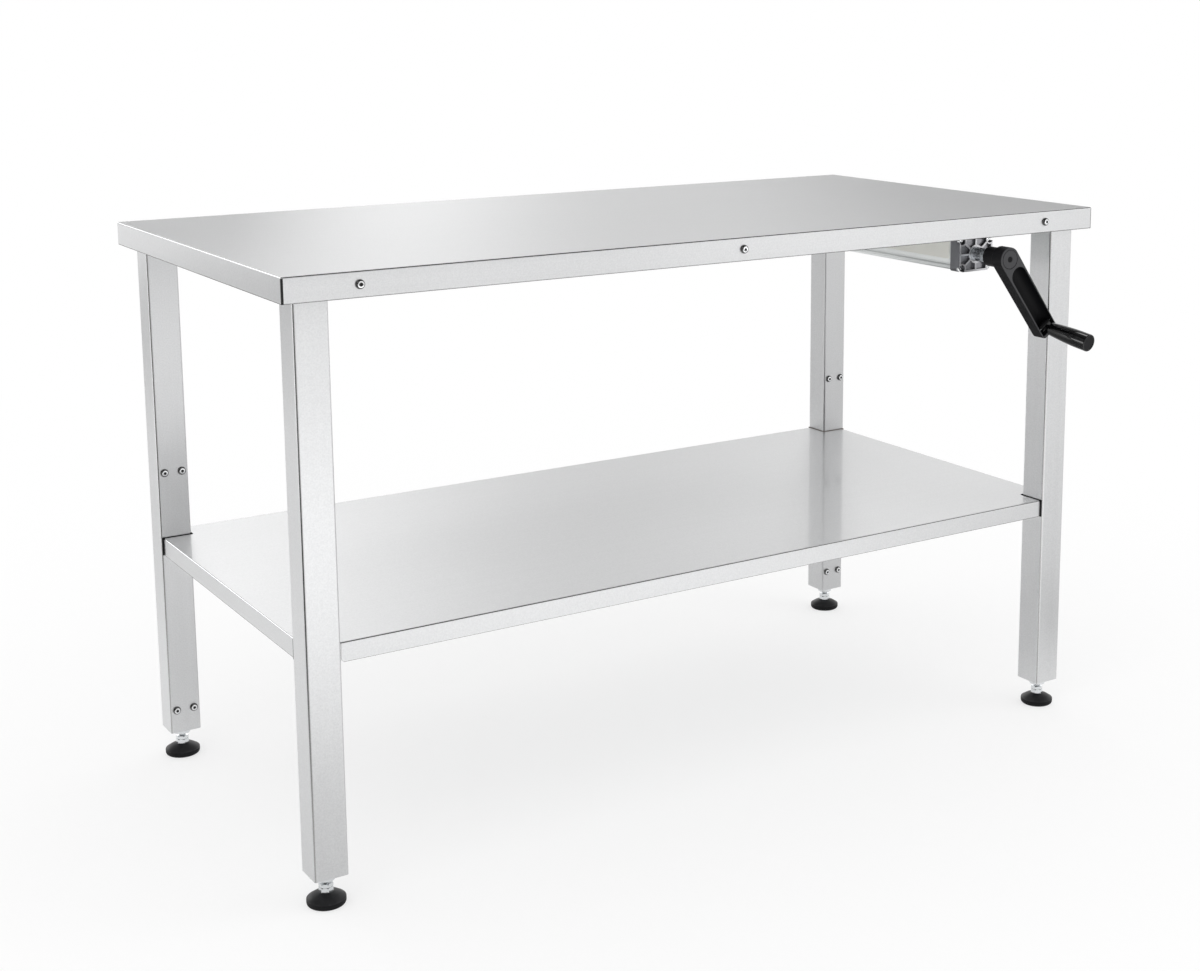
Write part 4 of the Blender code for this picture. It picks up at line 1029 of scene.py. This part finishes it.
def makeCapScrews():
    seat = boxOf("pump_front_cap")[0].y + capScrews["sink"]
    first, byX, byZ = capScrews["turn"]
    shapes = []
    for x in (-capScrews["spreadX"], capScrews["spreadX"]):
        for z in (-capScrews["spreadZ"], capScrews["spreadZ"]):
            turn = Matrix.Rotation(first + byX * x + byZ * z, 4, "Z")
            place = Matrix.Translation((shaft.x + x, seat, shaft.z + z)) @ facing(-1) @ turn
            shapes.append(moved(panScrew(), place))
    finished("cap_screws", gathered(shapes), [brightBolt], "frame")


pumpBody = {
    "capEdge": 0.0004,
    "housingEdge": 0.0003,
    "crest": 0.0008,   # how near to an end of its cap a rib's face is
}


def makePumpBody():
    for node in ("pump_front_cap", "pump_rear_cap"):
        cap = refined(node, casting, "frame", pumpBody["capEdge"])
        cap.data.materials.append(castingShadePaint)
        cap.data.materials.append(castingHighlightPaint)
        ends = [corner.y for corner in boxOf(node)]
        for face in cap.data.polygons:   # walls painted dark as painted shade, rib crests painted light as a painted highlight
            crest = min(abs(face.center.y - end) for end in ends) < pumpBody["crest"]
            face.material_index = 1 if abs(face.normal.y) < 0.3 else 2 if crest else 0
    refined("pump_housing", extrusion, "frame", pumpBody["housingEdge"])


bearingSleeve = {"bore": 0.0073, "edge": 0.0008}


def makeBearing():
    low, high = boxOf("shaft_bearing")
    radius = (high.x - low.x) / 2
    bore, edge = bearingSleeve["bore"], bearingSleeve["edge"]
    profile = [(bore, -high.y), (radius, -high.y), (radius, -low.y - edge)]
    profile += [(radius - edge, -low.y), (bore, -low.y), (bore, -high.y)]
    sleeve = moved(turnedShape(profile, 64), Matrix.Translation((shaft.x, 0, shaft.z)) @ lyingY)
    finished("bearing_sleeve", sleeve, [sleeveZinc], "frame", ["shaft_bearing"])


blankPlate = {
    "front": 0.004,
    "length": 0.20,
    "low": -0.0094,
    "high": 0.0255,
    "thick": 0.0004,
    "sunk": 0.0001,
    "corner": 0.002,
}


def makePlate():
    size = blankPlate
    housing = boxOf("pump_housing")[0]
    near = Vector((housing.x - size["thick"], housing.y + size["front"], shaft.z + size["low"]))
    far = Vector((housing.x + size["sunk"], near.y + size["length"], shaft.z + size["high"]))
    bm = boxShape(near, far)
    through = [edge for edge in bm.edges if abs((edge.verts[0].co - edge.verts[1].co).x) > 1e-5]
    rounded(bm, through, size["corner"], 4)
    finished("blank_plate", bm, [plateFilm], "frame")


makeTop()
makeLegs()
makeShelf()
makeShelfBeads()
print("sheet pieces made")
makeSkirtBolts()
makeLegBolts()
makeFeet()
print("bolts and feet made")
makeCrank()
makeGrip()
refined("handle_knuckle", glossBlack, "handle", grip["knuckleEdge"])
makeCapScrews()
makePumpBody()
makeBearing()
makePlate()
print("crank and pump made")


# studio
studio = {
    "floorSize": 30.0,
    "floorTone": 0.94,
    "floorNear": 1.3,
    "floorFar": 3.6,
    "floorVeil": 0.65,   # how much of the shadow is hidden near the table
    "ambient": 1.04,     # lights matt surfaces
    "sheen": 0.68,       # what polished surfaces mirror near the horizon, before the lobes
    "dome": 0.28,        # how much of that is left high up
    "domeFrom": 0.35,
    "domeTo": 0.75,
    "wallDark": 0.02,    # the least that a dark lobe leaves
    "lobes": (
        # azimuth from +Y towards +X, elevation, sharpness, amount
        (14, 5, 250, -1.30),
        (19, 5, 250, -0.66),
        (24, 5, 250, 0.89),
        (29, 5, 250, -0.25),
        (34, 5, 250, 0.15),
        (39, 5, 250, -0.49),
        (45, 5, 250, -0.65),
        (17, 22, 90, 1.55),
        (31, 22, 90, -0.35),
        (38, 22, 90, 0.82),
        (44, 22, 90, 0.36),
        (142, 6, 40, 0.42),
        (100, 18, 20, 0.60),
        (163, 17, 60, 0.75),
        (228, 12, 4, -0.64),
        (-64, 26, 18, -0.58),
        (-44, 14, 60, 0.95),
        (-18, 17, 200, 2.90),
        (-7, 16, 160, 0.60),
        (-63, 3, 160, 5.50),   # long streak and small glint on the grip
        (24, 63, 120, 5.00),
    ),
    "floorSheen": 0.92,
    "floorDark": 0.05,
    "mirrorNear": 0.3,
    "mirrorFar": 1.4,
    "pools": (
        # where the mirrored floor is lighter or darker, reach, amount
        ((0.0, -2.4), 2.3, 0.88),
        ((-3.9, 4.3), 3.0, -1.15),
        ((5.0, -7.0), 2.6, 2.90),
        ((2.3, -6.2), 2.1, -1.50),
        ((-4.4, -2.7), 3.4, -0.85),
        ((-1.5, 1.5), 0.9, -0.15),
        ((-3.2, 1.7), 1.5, 1.60),
        ((-6.2, 3.2), 2.6, 2.00),
        ((-3.0, 8.0), 2.5, 0.60),
        ((1.9, -1.3), 0.9, -0.33),
        ((-0.6, 2.1), 0.7, -0.70),
        ((-0.4, -0.6), 0.9, -0.34),
        ((1.1, -0.75), 0.45, -0.50),
        ((1.5, -1.75), 0.6, 0.35),
        ((0.14, 1.05), 0.6, 0.40),
        ((-2.2, -0.9), 1.9, -0.88),
        ((-7.5, -2.0), 4.0, -0.85),
    ),
    "lamps": (
        # place, aim, width, height, watts
        ((-2.4, -1.6, 3.0), (0.0, 0.0, 0.5), 2.0, 1.8, 10.0),
        ((2.8, -2.2, 2.8), (0.2, 0.0, 0.6), 1.8, 1.8, 9.0),
    ),
}


def lightPaths(start):
    camera, through, glossy = (
        start.node("LightPath", {}, {}, f"Is {kind} Ray") for kind in ("Camera", "Transmission", "Glossy")
    )
    return camera + through, glossy


def smoothStep(value, limits):
    return value.node("MapRange", {"interpolation_type": "SMOOTHSTEP"}, {"Value": value, **limits})


def makeFloor():
    bm = bmesh.new()
    bmesh.ops.create_grid(bm, x_segments=1, y_segments=1, size=studio["floorSize"])
    floor = asObject("floor", bm)
    material = bpy.data.materials.new("pale_floor")
    material.use_nodes = True
    tree = material.node_tree
    tree.nodes.remove(tree.nodes["Principled BSDF"])
    start = Wire(tree)
    matt = start.node("BsdfDiffuse", {}, {"Color": (*grey(studio["floorTone"]), 1.0)})
    place = start.node("TexCoord", {}, {}, "Object")
    glow = start.node("Value", {}, {})
    glow.socket.default_value = studio["floorSheen"]
    for (x, y), reach, amount in studio["pools"]:
        away = start.node("VectorMath", {"operation": "DISTANCE"}, {0: place, 1: (x, y, 0.0)}, 1)
        glow = glow + smoothStep(away, {"From Max": reach, "To Min": amount, "To Max": 0.0})
    glow = glow.maths("MAXIMUM", glow, studio["floorDark"])
    seen, mirrored = lightPaths(start)
    white = start.node("Emission", {}, {"Color": (1.0, 1.0, 1.0, 1.0), "Strength": seen + mirrored * glow})
    distance = start.node("VectorMath", {"operation": "LENGTH"}, {0: place}, 1)
    fade = smoothStep(distance, {"From Min": studio["floorNear"], "From Max": studio["floorFar"]})
    mirrorFade = smoothStep(distance, {"From Min": studio["mirrorNear"], "From Max": studio["mirrorFar"]})
    veil = studio["floorVeil"]
    shown = (veil + (1 - veil) * fade) * seen + mirrorFade * mirrored
    mixed = start.node("MixShader", {}, {0: shown, 1: matt, 2: white})
    tree.links.new(mixed.socket, tree.nodes["Material Output"].inputs["Surface"])
    floor.data.materials.append(material)


def makeWorld():
    world = bpy.data.worlds.new("studio")
    world.use_nodes = True
    tree = world.node_tree
    start = Wire(tree)
    seen, mirrored = lightPaths(start)
    direction = start.node("TexCoord", {}, {}, "Generated")
    height = start.node("SeparateXYZ", {}, {0: direction}, 2)
    glow = smoothStep(height, {
        "From Min": studio["domeFrom"], "From Max": studio["domeTo"],
        "To Min": studio["sheen"], "To Max": studio["sheen"] * studio["dome"],
    })
    for azimuth, elevation, sharpness, amount in studio["lobes"]:
        turn, rise = math.radians(azimuth), math.radians(elevation)
        aim = (math.sin(turn) * math.cos(rise), math.cos(turn) * math.cos(rise), math.sin(rise))
        near = start.node("VectorMath", {"operation": "DOT_PRODUCT"}, {0: direction, 1: aim}, 1)
        near = near.maths("MAXIMUM", near, 0.0)
        glow = glow + amount * near.maths("POWER", near, sharpness)
    glow = glow.maths("MAXIMUM", glow, studio["wallDark"])
    strength = seen + mirrored * glow + (1 - seen - mirrored) * studio["ambient"]
    tree.links.new(strength.socket, tree.nodes["Background"].inputs["Strength"])
    tree.nodes["Background"].inputs["Color"].default_value = (1.0, 1.0, 1.0, 1.0)
    bpy.context.scene.world = world


def makeLamps():
    for count, (place, aim, width, height, watts) in enumerate(studio["lamps"], 1):
        lamp = bpy.data.lights.new(f"softbox_{count}", "AREA")
        lamp.shape = "RECTANGLE"
        lamp.size = width
        lamp.size_y = height
        lamp.energy = watts
        holder = bpy.data.objects.new(f"softbox_{count}", lamp)
        holder.location = place
        holder.rotation_euler = (Vector(aim) - Vector(place)).to_track_quat("-Z", "Y").to_euler()
        bpy.context.scene.collection.objects.link(holder)


# the photograph's viewpoint, in a frame 1200 wide and 971 high
view = {
    "place": (-1.640, -2.7373, 1.3107),
    "yaw": 33.398,
    "pitch": 9.881,
    "roll": -0.084,
    "focal": 1835.6,
    "middle": (698.54, 320.0),
    "frame": (1200.0, 971.0),
    "sensor": 36.0,
}


def makeCamera():
    wide, high = view["frame"]
    lens = bpy.data.cameras.new("camera")
    lens.sensor_width = view["sensor"]
    lens.lens = view["focal"] / wide * lens.sensor_width
    lens.shift_x = (wide / 2 - view["middle"][0]) / wide
    lens.shift_y = (view["middle"][1] - high / 2) / wide
    camera = bpy.data.objects.new("camera", lens)
    turn = Matrix.Rotation(-math.radians(view["yaw"]), 4, "Z")
    tilt = Matrix.Rotation(math.radians(90 - view["pitch"]), 4, "X")
    roll = Matrix.Rotation(math.radians(view["roll"]), 4, "Z")
    camera.matrix_world = Matrix.Translation(view["place"]) @ turn @ tilt @ roll
    bpy.context.scene.collection.objects.link(camera)
    bpy.context.scene.camera = camera


makeFloor()
makeWorld()
makeLamps()
makeCamera()
bpy.context.scene.view_settings.view_transform = "Standard"
print("studio set")
